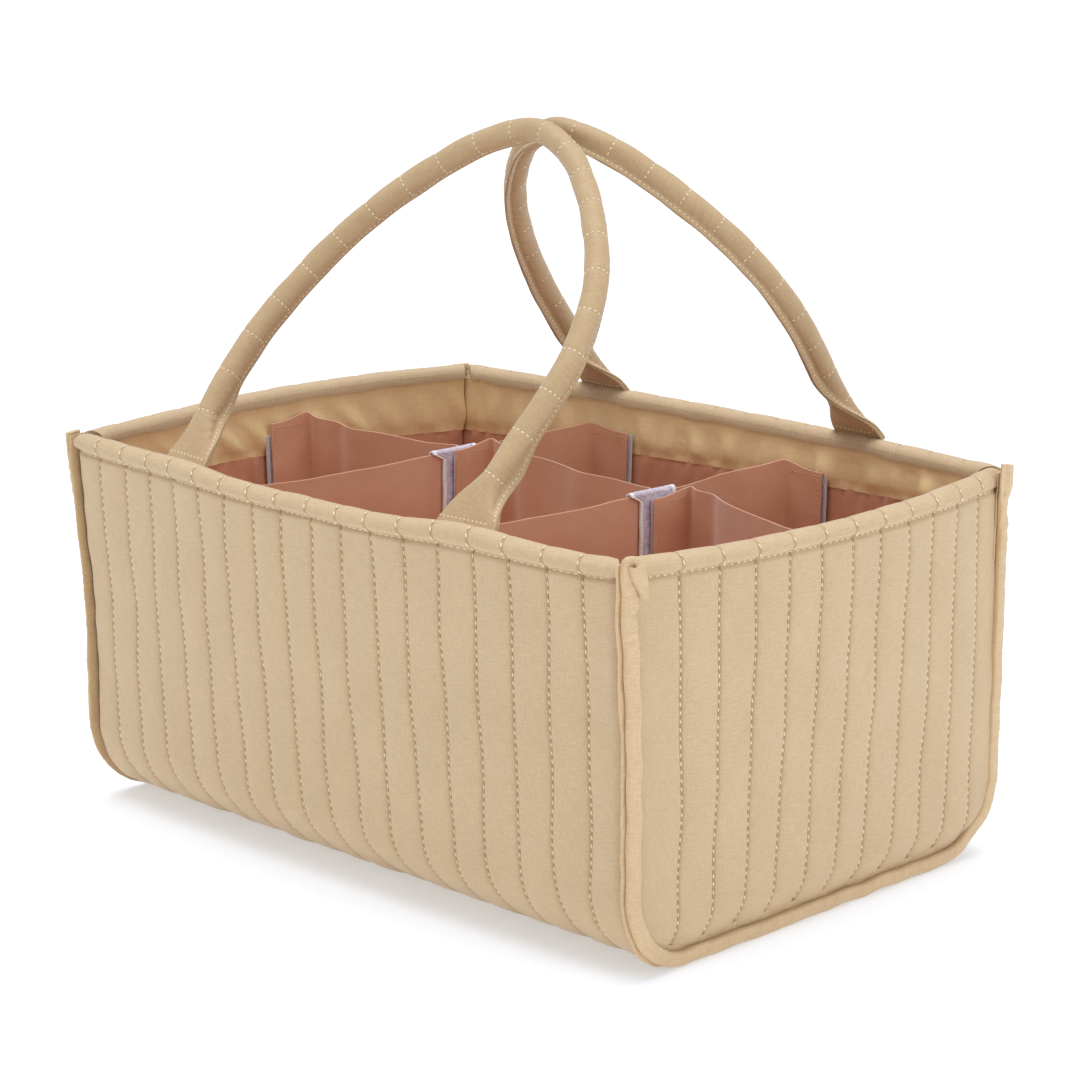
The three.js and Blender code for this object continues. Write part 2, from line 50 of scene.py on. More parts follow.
Array = np.ndarray
Object = bpy.types.Object
Material = bpy.types.Material
Surface = Callable[[Array, Array], Array]
Pair = tuple[float, float]
Color = tuple[float, float, float]

LOOP_WIDTH = 0.0292
WALL_LOOP_WIDTH = 0.021
HALF_LENGTH = 0.180
HALF_WIDTH = 0.127
RIM_HEIGHT = 0.185
TURN_RADIUS = 0.040
MEETING_GAP = 1e-5
FLAT_HALF = HALF_WIDTH - TURN_RADIUS
CHANNEL = 0.020
END_CHANNEL = 0.01983


# Numbers and noise


def step(x: Array, low: float, high: float) -> Array:
    """Smooth step from 0 at low to 1 at high."""
    t = np.clip((x - low) / (high - low), 0.0, 1.0)
    return t * t * (3.0 - 2.0 * t)


def fade(x: Array, low: float, high: float) -> Array:
    """Smooth step from 1 at low to 0 at high."""
    return 1.0 - step(x, low, high)


def bell(x: Array, reach: float) -> Array:
    """1 at 0, falling away smoothly on both sides."""
    return np.exp(-((x / reach) ** 2))


def ripple(a: Array, b: Array, waves: Pair, seed: int, count: int = 8) -> Array:
    """Smooth seeded unevenness over a piece of cloth.

    Args:
        a: Places across the cloth.
        b: Places along the cloth.
        waves: Usual wave length across and along.
        seed: Picks the pattern.
        count: Waves added together.

    Returns:
        Values mostly between -1 and 1.
    """
    rng = np.random.default_rng(seed)
    total = np.zeros(np.broadcast(a, b).shape)
    for _ in range(count):
        turn, phase = rng.uniform(0.0, 2.0 * math.pi, 2)
        stretch = rng.uniform(0.7, 1.5)
        across = a / waves[0] * math.cos(turn)
        along = b / waves[1] * math.sin(turn)
        total += np.sin(2.0 * math.pi * stretch * (across + along) + phase)
    return total / math.sqrt(count)


def unit(vectors: Array) -> Array:
    """The same vectors at length one."""
    return vectors / np.maximum(np.linalg.norm(vectors, axis=-1, keepdims=True), 1e-12)


def linear(red: int, green: int, blue: int) -> Color:
    """A colour written in screen values, as the linear values that a shader takes."""

    def one(value: int) -> float:
        """One of its three values."""
        share = value / 255.0
        return share / 12.92 if share <= 0.04045 else ((share + 0.055) / 1.055) ** 2.4

    return one(red), one(green), one(blue)


# Shader graphs


class Sock:
    """A shader value whose arithmetic adds Math nodes."""

    def __init__(self, graph: "Graph", socket: bpy.types.NodeSocket) -> None:
        """Wraps one output socket of a graph."""
        self.graph = graph
        self.socket = socket

    def math(self, operation: str, first: "Sock | float", second: "Sock | float" = 0.0) -> "Sock":
        """One Math node on two values."""
        return self.graph.add("ShaderNodeMath", {"operation": operation}, {0: first, 1: second})

    def __add__(self, other: "Sock | float") -> "Sock":
        """Sum."""
        return self.math("ADD", self, other)

    __radd__ = __add__

    def __sub__(self, other: "Sock | float") -> "Sock":
        """Difference."""
        return self.math("SUBTRACT", self, other)

    def __rsub__(self, other: float) -> "Sock":
        """Difference from a plain number."""
        return self.math("SUBTRACT", other, self)

    def __mul__(self, other: "Sock | float") -> "Sock":
        """Product."""
        return self.math("MULTIPLY", self, other)

    def sine(self) -> "Sock":
        """Sine."""
        return self.math("SINE", self)

    def cosine(self) -> "Sock":
        """Cosine."""
        return self.math("COSINE", self)

    def absolute(self) -> "Sock":
        """Value without its sign."""
        return self.math("ABSOLUTE", self)

    def between(self, low: float, high: float) -> "Sock":
        """Smooth step from 0 at low to 1 at high."""
        settings = {"interpolation_type": "SMOOTHSTEP"}
        return self.graph.add("ShaderNodeMapRange", settings, {0: self, 1: low, 2: high})

    def inside(self, low: float, high: float, edge: float = 0.0015) -> "Sock":
        """1 between two values and 0 outside them, with soft edges."""
        return self.between(low - edge, low + edge) * (1.0 - self.between(high - edge, high + edge))


class Graph:
    """The node graph of one material."""

    def __init__(self, name: str) -> None:
        """Starts an empty material with its shader and output."""
        self.material = bpy.data.materials.new(name)
        self.material.use_nodes = True
        self.tree = self.material.node_tree
        self.shader = self.tree.nodes["Principled BSDF"]

    def add(
        self,
        kind: str,
        settings: dict[str, object] | None = None,
        inputs: dict[str | int, object] | None = None,
        output: str | int = 0,
    ) -> Sock:
        """Adds a node.

        Args:
            kind: The node's type.
            settings: Its settings, which are set first.
            inputs: Values or links of its sockets, by name or number.
            output: Which of its outputs is wanted.

        Returns:
            That output.
        """
        node = self.tree.nodes.new(kind)
        for name, value in (settings or {}).items():
            setattr(node, name, value)
        for name, value in (inputs or {}).items():
            self.feed(node.inputs[name], value)
        return Sock(self, node.outputs[output])

    def feed(self, socket: bpy.types.NodeSocket, value: object) -> None:
        """Links a value to a socket, or sets it there."""
        if isinstance(value, Sock):
            self.tree.links.new(value.socket, socket)
        elif isinstance(value, tuple) and len(value) == 3 and socket.type == "RGBA":
            socket.default_value = (*value, 1.0)
        else:
            socket.default_value = value

    def surface(self, **values: object) -> Material:
        """Sets the shader's sockets, with spaces as underscores, and gives the material."""
        for name, value in values.items():
            self.feed(self.shader.inputs[name.replace("_", " ")], value)
        return self.material

    def blend(self, factor: Sock, dark: Sock | Color, light: Sock | Color) -> Sock:
        """Colour between two, by a factor."""
        node = self.tree.nodes.new("ShaderNodeMix")
        node.data_type = "RGBA"
        self.feed(node.inputs[0], factor)
        self.feed(node.inputs[6], dark)
        self.feed(node.inputs[7], light)
        return Sock(self, node.outputs[2])

    def cloth_place(self) -> Sock:
        """Place on the cloth in metres, from the piece's UV map."""
        return self.add("ShaderNodeUVMap", {"uv_map": "UVMap"})

    def part(self, vector: Sock, axis: int) -> Sock:
        """One component of a vector."""
        return self.add("ShaderNodeSeparateXYZ", None, {0: vector}, axis)

    def noise(
        self, place: Sock, per_metre: tuple[float, float, float], detail: float = 2.0, rough: float = 0.5
    ) -> Sock:
        """Noise from 0 to 1, with a count of features per metre each way."""
        scaled = self.add("ShaderNodeMapping", None, {"Vector": place, "Scale": per_metre})
        inputs = {"Vector": scaled, "Scale": 1.0, "Detail": detail, "Roughness": rough}
        return self.add("ShaderNodeTexNoise", None, inputs)

    def bump(self, height: Sock, depth: float, under: Sock | None = None) -> Sock:
        """Normal from a height of 0 to 1 that stands for a depth in metres."""
        inputs: dict[str | int, object] = {"Height": height, "Distance": depth, "Strength": 1.0}
        if under is not None:
            inputs["Normal"] = under
        return self.add("ShaderNodeBump", None, inputs)


@dataclass(frozen=True)
class WovenCotton:
    """Fine cotton: slubs and threads both ways, with soft unevenness of colour and surface, and painted
    shade along the quilting seams when a seam pitch is given.
    """

    name: str
    color: Color
    shade: Color
    roughness: float = 0.62
    sheen: float = 0.25
    threads: float = 1900.0
    slub_length: float = 0.006
    crease: float = 0.00014
    seam_pitch: float = 0.0
    seam_start: float = 0.0
    seam_ends: Pair = (0.0, 1.0)
    seam_sides: Pair = (0.0, 1.0)
    painted_seam_shade: Color = linear(176, 140, 92)
    painted_seam_strength: float = 0.58
    weave: float = 0.00006

    def material(self) -> Material:
        """The finish as a material."""
        g = Graph(self.name)
        place = g.cloth_place()
        slub = 1.0 / self.slub_length
        weft = g.noise(place, (slub, self.threads, 1.0), 2.0)
        warp = g.noise(place, (self.threads, slub, 1.0), 2.0)
        mottle = g.noise(place, (38.0, 26.0, 1.0), 3.0)
        grain = g.noise(place, (900.0, 1100.0, 1.0), 3.0, 0.7)
        soft = g.noise(place, (70.0, 190.0, 1.0), 3.0, 0.55)
        tone = weft * 0.34 + warp * 0.22 + mottle * 0.14 + grain * 0.30
        color = g.blend(tone.between(0.36, 0.64), self.shade, self.color)
        # Painted shade: a narrow darker band along each quilting seam stands in for the shade in the
        # stitched grooves.
        if self.seam_pitch:
            turn = 2.0 * math.pi / self.seam_pitch
            across, along = g.part(place, 0), g.part(place, 1)
            wave = ((across - self.seam_start) * turn).cosine()
            shown = across.inside(*self.seam_sides) * along.inside(*self.seam_ends)
            color = g.blend(wave.between(0.93, 1.0) * shown * self.painted_seam_strength, color, self.painted_seam_shade)
        weave = g.bump(weft * 0.6 + warp * 0.4, self.weave)
        normal = g.bump(soft, self.crease, weave)
        rough = self.roughness - 0.12 + weft * 0.24
        return g.surface(
            Base_Color=color,
            Roughness=rough,
            Normal=normal,
            Sheen_Weight=self.sheen,
            Sheen_Roughness=0.4,
            Specular_IOR_Level=0.35,
        )


@dataclass(frozen=True)
class SatinLining:
    """Smooth nylon lining with a soft shine along its folds."""

    name: str
    color: Color
    shade: Color
    roughness: float = 0.50
    weave: float = 0.00003
    ripples: float = 0.0006

    def material(self) -> Material:
        """The finish as a material."""
        g = Graph(self.name)
        place = g.cloth_place()
        weft = g.noise(place, (300.0, 2600.0, 1.0), 2.0)
        warp = g.noise(place, (2600.0, 300.0, 1.0), 2.0)
        mottle = g.noise(place, (22.0, 30.0, 1.0), 2.0)
        soft = g.noise(place, (45.0, 60.0, 1.0), 2.5, 0.5)
        tone = weft * 0.25 + warp * 0.2 + mottle * 0.6
        color = g.blend(tone.between(0.25, 0.8), self.shade, self.color)
        weave = g.bump(weft * 0.5 + warp * 0.5, self.weave)
        normal = g.bump(soft, self.ripples, weave)
        return g.surface(
            Base_Color=color,
            Roughness=self.roughness - 0.05 + mottle * 0.1,
            Normal=normal,
            Sheen_Weight=0.6,
            Sheen_Roughness=0.5,
            Specular_IOR_Level=0.6,
        )


@dataclass(frozen=True)
class LoopTape:
    """Woven tape with smooth selvedges and a mottled pile of loops between them; the pile's colour is
    partly random mottling and partly painted shade where the loops sit low.
    """

    name: str
    edge: Color
    pile: Color
    pile_mottle_and_painted_shade: Color
    width: float
    selvedge: float = 0.0026
    soft_edge: float = 0.0004
    rib_pitch: float = 0.0009
    depth: float = 0.0006

    def material(self) -> Material:
        """The finish as a material."""
        g = Graph(self.name)
        place = g.cloth_place()
        from_middle = (g.part(place, 0) - self.width / 2.0).absolute()
        pile_edge = self.width / 2.0 - self.selvedge
        inside = 1.0 - from_middle.between(pile_edge - self.soft_edge, pile_edge + self.soft_edge)
        loops = g.noise(place, (900.0, 900.0, 1.0), 4.0, 0.7)
        tufts = g.noise(place, (260.0, 320.0, 1.0), 3.0, 0.6)
        # Partly random mottling from the tufts, partly painted shade from the loops that also set the
        # bump's height.
        pile = g.blend((loops * 0.5 + tufts * 0.5).between(0.4, 0.62), self.pile_mottle_and_painted_shade, self.pile)
        color = g.blend(inside, self.edge, pile)
        ribs = (g.part(place, 1) * (2.0 * math.pi / self.rib_pitch)).sine() * 0.5 + 0.5
        height = loops * inside + ribs * (1.0 - inside) * 0.25 + inside * 0.6
        return g.surface(
            Base_Color=color,
            Roughness=0.85,
            Normal=g.bump(height, self.depth),
            Sheen_Weight=0.4,
        )


@dataclass(frozen=True)
class HookTape:
    """Stiff tape with rows of tiny moulded hooks, with painted shade between them."""

    name: str
    color: Color
    shade: Color
    pitch: float = 0.0013
    depth: float = 0.0004

    def material(self) -> Material:
        """The finish as a material."""
        g = Graph(self.name)
        place = g.cloth_place()
        turn = 2.0 * math.pi / self.pitch
        rows = (g.part(place, 0) * turn).sine() * (g.part(place, 1) * turn).sine()
        knobs = rows * 0.5 + 0.5
        grain = g.noise(place, (1500.0, 1500.0, 1.0), 2.0)
        # Painted shade: the colour darkens where the hook pattern sits low, with a little random grain.
        color = g.blend((knobs * 0.7 + grain * 0.3).between(0.2, 0.8), self.shade, self.color)
        return g.surface(Base_Color=color, Roughness=0.7, Normal=g.bump(knobs, self.depth))


@dataclass(frozen=True)
class SewingThread:
    """Twisted thread."""

    name: str
    color: Color
    shade: Color
    fibres: float = 2600.0
    depth: float = 0.0001

    def material(self) -> Material:
        """The finish as a material."""
        g = Graph(self.name)
        place = g.add("ShaderNodeTexCoord", None, None, "Object")
        fuzz = g.noise(place, (self.fibres,) * 3, 2.0)
        color = g.blend(fuzz.between(0.3, 0.7), self.shade, self.color)
        normal = g.bump(fuzz, self.depth)
        return g.surface(Base_Color=color, Roughness=0.55, Normal=normal, Sheen_Weight=0.3)


@dataclass(frozen=True)
class Core:
    """Foam or fibre board that the cloth hides."""

    name: str
    color: Color
    shade: Color
    grain: float
    depth: float

    def material(self) -> Material:
        """The finish as a material."""
        g = Graph(self.name)
        place = g.add("ShaderNodeTexCoord", None, None, "Object")
        cells = g.noise(place, (self.grain,) * 3, 4.0, 0.65)
        color = g.blend(cells.between(0.35, 0.65), self.shade, self.color)
        return g.surface(Base_Color=color, Roughness=0.9, Normal=g.bump(cells, self.depth))


class Finishes:
    """Every finish of the caddy, each made once."""

    quilt: Material
    end_quilt: Material
    binding: Material
    handle: Material
    facing: Material
    lining: Material
    divider: Material
    loop: Material
    wall_loop: Material
    hook: Material
    cream: Material
    tan: Material
    gold: Material
    foam: Material
    board: Material

    def __init__(self) -> None:
        """Makes the materials."""
        quilt = (linear(214, 190, 156), linear(198, 173, 139))
        tapes = {"edge": linear(252, 250, 255), "pile": linear(244, 238, 250)}
        wall_tapes = {"edge": linear(240, 238, 244), "pile": linear(226, 220, 232)}
        makers = {
            # Both quilted cottons paint shade along their channel seams.
            "quilt": WovenCotton(
                "quilted_cotton", *quilt,
                seam_pitch=CHANNEL, seam_ends=(0.010, 0.6067), seam_sides=(0.010, 0.350),
            ),
            "end_quilt": WovenCotton(
                "end_quilted_cotton", *quilt,
                seam_pitch=END_CHANNEL, seam_start=HALF_WIDTH,
                seam_ends=(-1.0, 0.1722), seam_sides=(0.018, 0.236),
            ),
            "binding": WovenCotton("binding_cotton", linear(224, 198, 160), linear(206, 178, 140)),
            "handle": WovenCotton(
                "handle_cotton", linear(204, 177, 140), linear(187, 159, 122), roughness=0.55
            ),
            "facing": WovenCotton(
                "facing_cotton", linear(250, 222, 172), linear(234, 204, 150), roughness=0.5
            ),
            "lining": SatinLining("lining_nylon", linear(222, 158, 124), linear(200, 134, 100)),
            "divider": SatinLining("divider_nylon", linear(230, 174, 142), linear(208, 146, 112)),
            "loop": LoopTape("loop_tape", **tapes, pile_mottle_and_painted_shade=linear(200, 186, 212), width=LOOP_WIDTH),
            "wall_loop": LoopTape(
                "wall_loop_tape", **wall_tapes, pile_mottle_and_painted_shade=linear(178, 166, 190), width=WALL_LOOP_WIDTH
            ),
            "hook": HookTape("hook_tape", linear(240, 238, 246), linear(214, 208, 224)),
            "cream": SewingThread("cream_thread", linear(254, 244, 218), linear(240, 224, 188)),
            "tan": SewingThread("tan_thread", linear(200, 168, 122), linear(172, 140, 98)),
            "gold": SewingThread("gold_thread", linear(228, 184, 116), linear(198, 150, 88)),
            "foam": Core("white_foam", linear(240, 238, 232), linear(222, 218, 208), 700.0, 0.0004),
            "board": Core("grey_board", linear(138, 132, 120), linear(112, 106, 96), 420.0, 0.0002),
        }
        for name, maker in makers.items():
            setattr(self, name, maker.material())


# Cloth


def deselect() -> None:
    """Leaves nothing selected, in object mode."""
    bpy.ops.object.select_all(action="DESELECT")


def pick(obj: Object) -> None:
    """Makes one object the selected and active one."""
    deselect()
    obj.select_set(True)
    bpy.context.view_layer.objects.active = obj


def grid(
    name: str,
    across: Array,
    along: Array,
    surface: Surface,
    cloth: Pair = (1.0, 1.0),
) -> Object:
    """A piece of cloth: a grid primitive whose points are moved onto a surface in code.

    Args:
        name: The piece's name.
        across: Places of its columns on the flat cloth.
        along: Places of its rows on the flat cloth.
        surface: Gives the points of places across and along the cloth.
        cloth: Metres of cloth that one unit across and one unit along stand for.

    Returns:
        The piece, with a UV map in metres of cloth.
    """
    deselect()
    columns, rows = len(across) - 1, len(along) - 1
    bpy.ops.mesh.primitive_grid_add(x_subdivisions=columns, y_subdivisions=rows, size=1.0, calc_uvs=True)
    obj = bpy.context.object
    obj.name = name
    obj.data.name = name
    a = np.tile(across, rows + 1)
    b = np.repeat(along, columns + 1)
    points = surface(a, b).astype(np.float32)
    obj.data.vertices.foreach_set("co", points.ravel())
    corners = np.zeros(len(obj.data.loops), np.int32)
    obj.data.loops.foreach_get("vertex_index", corners)
    uv = np.stack([a[corners] - across.min(), b[corners] - along.min()], axis=1) * np.array(cloth)
    obj.data.uv_layers[0].data.foreach_set("uv", uv.astype(np.float32).ravel())
    obj.data.update()
    return obj


def apply(obj: Object, kind: str, **settings: object) -> None:
    """Adds a modifier with some settings and applies it."""
    pick(obj)
    modifier = obj.modifiers.new(kind.lower(), kind)
    for name, value in settings.items():
        setattr(modifier, name, value)
    bpy.ops.object.modifier_apply(modifier=modifier.name)


def edit(obj: Object, *operators: Callable[[], object]) -> None:
    """Runs operators in edit mode, each on the whole piece."""
    pick(obj)
    bpy.ops.object.mode_set(mode="EDIT")
    for operator in operators:
        bpy.ops.mesh.select_all(action="SELECT")
        operator()
    bpy.ops.object.mode_set(mode="OBJECT")


def face_out() -> None:
    """Turns the faces of the piece in edit mode outwards."""
    bpy.ops.mesh.normals_make_consistent(inside=False)


def close_up(obj: Object) -> None:
    """Merges points that meet, closes what is open and turns the faces outwards."""
    edit(
        obj,
        lambda: bpy.ops.mesh.remove_doubles(threshold=MEETING_GAP),
        lambda: bpy.ops.mesh.fill_holes(sides=0),
        face_out,
    )


def smooth(obj: Object, degrees: float = 40.0) -> None:
    """Shades smooth across edges flatter than an angle."""
    pick(obj)
    bpy.ops.object.shade_smooth_by_angle(angle=math.radians(degrees))


def thicken(obj: Object, thickness: float, offset: float = 0.0) -> None:
    """Gives cloth its thickness.

    Args:
        obj: The piece.
        thickness: Of the cloth.
        offset: -1 to grow behind its faces, 0 both ways, 1 in front.
    """
    apply(obj, "SOLIDIFY", thickness=thickness, offset=offset, use_even_offset=False)
    edit(obj, face_out)
    smooth(obj)


def dress(
    obj: Object,
    material: Material,
    body: str,
    nodes: tuple[str, ...] = (),
) -> None:
    """Gives a finished piece its material and body, and hides the frame's nodes that it stands for.

    Args:
        obj: The piece.
        material: Its finish.
        body: The body it rides on.
        nodes: The frame's nodes that it stands for.
    """
    obj.data.materials.clear()
    obj.data.materials.append(material)
    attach(obj, body)
    if nodes:
        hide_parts(*nodes)
    log.info("%s: %d faces, rides on %s", obj.name, len(obj.data.polygons), body)


@dataclass(frozen=True)
class Waves:
    """Soft unevenness of cloth: its height, and its lengths across and along the piece."""

    height: float
    across: float
    along: float

    def at(self, a: Array, b: Array, seed: int) -> Array:
        """How far the cloth stands out at places across and along the piece."""
        return self.height * ripple(a, b, (self.across, self.along), seed)


@dataclass
class Stitching:
    """Stitches along lines on cloth, all in one piece."""

    name: str
    material: Material
    body: str
    slot: str
    length: float = 0.0019
    pitch: float = 0.0025
    width: float = 0.00055
    sink: float = 0.00005
    slant: float = 0.0
    height_share: float = 0.36
    seats: list[Array] = field(default_factory=list)

    def sew(self, surface: Surface, a: Array, b: Array) -> None:
        """Adds a line of stitches.

        Args:
            surface: The cloth's surface.
            a: The line's places across the cloth.
            b: Its places along the cloth.
        """
        fine = 1e-4
        points = surface(a, b)
        side_a = surface(a + fine, b) - surface(a - fine, b)
        side_b = surface(a, b + fine) - surface(a, b - fine)
        normals = unit(np.cross(side_a, side_b))
        self.lay(points, normals)

    def lay(self, points: Array, normals: Array) -> None:
        """Adds a line of stitches through points with known normals."""
        run = np.concatenate([[0.0], np.cumsum(np.linalg.norm(np.diff(points, axis=0), axis=1))])
        count = int(run[-1] / self.pitch)
        if count < 1:
            return
        at = (np.arange(count) + 0.5) * self.pitch
        half = self.length / 2.0

        def through(values: Array, places: Array) -> Array:
            """Values along the line, at distances from its start."""
            return np.stack([np.interp(places, run, values[:, k]) for k in range(3)], axis=1)

        middle = through(points, at)
        normal = unit(through(normals, at))
        along = unit(through(points, at + half) - through(points, at - half))
        side = unit(np.cross(normal, along))
        along = along * math.cos(self.slant) + side * math.sin(self.slant)
        side = unit(np.cross(normal, along))
        self.seats.append(np.stack([middle - normal * self.sink, along, side, normal], axis=1))

    def finish(self) -> Object:
        """Models one stitch and copies it to every seat."""
        deselect()
        bpy.ops.mesh.primitive_ico_sphere_add(subdivisions=1, radius=1.0)
        model = bpy.context.object
        shape = np.array([v.co for v in model.data.vertices])
        faces = np.array([p.vertices[:] for p in model.data.polygons])
        bpy.data.objects.remove(model)
        shape = shape * np.array([self.length / 2.0, self.width / 2.0, self.width * self.height_share])
        seats = np.concatenate(self.seats)
        points = seats[:, :1] + np.einsum("vk,nkc->nvc", shape, seats[:, 1:])
        count = len(seats)
        all_faces = (faces[None] + (np.arange(count) * len(shape))[:, None, None]).reshape(-1, 3)
        mesh = bpy.data.meshes.new(self.name)
        mesh.from_pydata(points.reshape(-1, 3).tolist(), [], all_faces.tolist())
        obj = bpy.data.objects.new(self.name, mesh)
        bpy.context.scene.collection.objects.link(obj)
        pick(obj)
        bpy.ops.object.shade_smooth()
        dress(obj, self.material, self.body)
        return obj


# The shell


class Side(Enum):
    """The four walls."""

    FRONT = "front"
    REAR = "rear"
    LEFT = "left"
    RIGHT = "right"

    @property
    def is_long(self) -> bool:
        """Whether the wall runs along X."""
        return self in (Side.FRONT, Side.REAR)

    @property
    def sign(self) -> int:
        """Which side of the middle the wall stands on."""
        return 1 if self in (Side.REAR, Side.RIGHT) else -1


@dataclass(frozen=True)
class Lean:
    """How far the top of one upright corner leans out of plumb."""

    corner: Pair
    shift: Pair
    reach: float = 0.034
    foot: float = 0.085
    top: float = 0.186

    def move(self, points: Array) -> None:
        """Moves points near the corner's top."""
        away = (points[..., 0] - self.corner[0]) ** 2 + (points[..., 1] - self.corner[1]) ** 2
        share = np.exp(-away / self.reach**2) * step(points[..., 2], self.foot, self.top)
        points[..., 0] += self.shift[0] * share
        points[..., 1] += self.shift[1] * share


LEANS = (
    Lean((HALF_LENGTH, -HALF_WIDTH), (-0.0022, -0.0022)),
    Lean((-HALF_LENGTH, -HALF_WIDTH), (-0.0040, -0.0040)),
    Lean((-HALF_LENGTH, HALF_WIDTH), (0.0018, 0.0018)),
)


def lean_corners(points: Array) -> Array:
    """The same points of the shell with its corners leaning."""
    for lean in LEANS:
        lean.move(points)
    return points


@dataclass(frozen=True)
class Wall:
    """One wall of the caddy, bowed at its rim and a little swollen by its padding."""

    side: Side
    bow: float
    bulge: float
    dip: float = 0.0
    half_length: float = HALF_LENGTH
    half_width: float = HALF_WIDTH
    height: float = RIM_HEIGHT
    dip_reach: float = 0.045
    bulge_foot: Pair = (0.004, 0.030)
    tuck: float = 0.0
    tuck_height: float = 0.026
    rim: tuple[float, float, float] = (0.0, 0.0, 0.0)
    rim_zone: Pair = (0.166, 0.186)
    most_rise: float = 1.05
    humps: tuple[tuple[float, float, float], ...] = ()

    @property
    def half_span(self) -> float:
        """Half of the wall's length."""
        return self.half_length if self.side.is_long else self.half_width

    @property
    def offset(self) -> float:
        """From the caddy's middle to the wall's face at its corners."""
        return self.half_width if self.side.is_long else self.half_length

    def face(self, s: Array, z: Array) -> Array:
        """From the caddy's middle to the wall's face, at a place along it and a height."""
        share = np.clip(np.abs(s) / self.half_span, 0.0, 1.0)
        rise = np.clip(z / self.height, 0.0, self.most_rise)
        bow = self.bow * (1.0 - share**2) * rise
        swell = step(z, *self.bulge_foot) * (1.0 - rise**2) * (1.0 - share**8)
        dip = self.dip * bell(s, self.dip_reach) * rise**3
        tuck = self.tuck * fade(z, 0.0, self.tuck_height)
        return self.offset + bow + self.bulge * swell - dip - tuck

    def sag(self, s: Array, z: Array) -> Array:
        """How far the rim stands above its level: its heights at both ends and the middle, and its humps.

        A hump is a place along the wall, a height and a reach, where something sewn on lifts the rim.
        """
        share = np.clip(s / self.half_span, -1.0, 1.0)
        first, middle, last = self.rim
        rise = middle + ((first + last) / 2.0 - middle) * share**2 + (last - first) / 2.0 * share
        for place, height, reach in self.humps:
            rise = rise + height * bell(s - place, reach)
        return rise * step(z, *self.rim_zone)

    def point(self, s: Array, depth: Array, z: Array) -> Array:
        """Points at places along the wall, depths in from its face and heights."""
        out = self.side.sign * (self.face(s, z) - depth)
        s = s + np.zeros_like(out)
        z = z + self.sag(s, z) + np.zeros_like(out)
        parts = [s, out, z] if self.side.is_long else [out, s, z]
        return lean_corners(np.stack(parts, axis=-1))


@dataclass(frozen=True)
class Layers:
    """Depths and heights that the shell's pieces share."""

    turn_radius: float = TURN_RADIUS
    quilt: float = 0.0046
    wall: float = 0.0104
    hem_foot: float = 0.1763
    inner_leg: float = 0.0010
    height: float = RIM_HEIGHT

    @property
    def roll(self) -> float:
        """Radius of the hem's rolled edge."""
        return self.wall / 2.0

    def hem_path(self, t: Array, sunk: Array) -> tuple[Array, Array]:
        """Depth and height along the hem, from its stitching outside to its inner edge.

        Args:
            t: Places along the hem, from 0 at the stitching.
            sunk: How deep the quilting is there.

        Returns:
            Depths from the wall's face, and heights.
        """
        leg = self.height - self.roll - self.hem_foot
        turn = np.clip((t - leg) / self.roll, 0.0, math.pi)
        reach = self.roll - sunk
        depth = self.roll - reach * np.cos(turn)
        z = self.height - self.roll + reach * np.sin(turn)
        z = z - np.maximum(leg - t, 0.0)
        z = z - np.maximum(t - leg - math.pi * self.roll, 0.0)
        return depth, z

    @property
    def hem_length(self) -> float:
        """Length of cloth from the hem's stitching over the rim to its inner edge."""
        return self.height - self.roll - self.hem_foot + math.pi * self.roll + self.inner_leg

    def turn_height(self, y: Array, depth: float = 0.0) -> Array:
        """Height of the shell's rounded underside at a place across the caddy."""
        past = np.maximum(np.abs(y) - FLAT_HALF, 0.0)
        radius = self.turn_radius - depth
        return self.turn_radius - np.sqrt(np.maximum(radius**2 - past**2, 0.0))


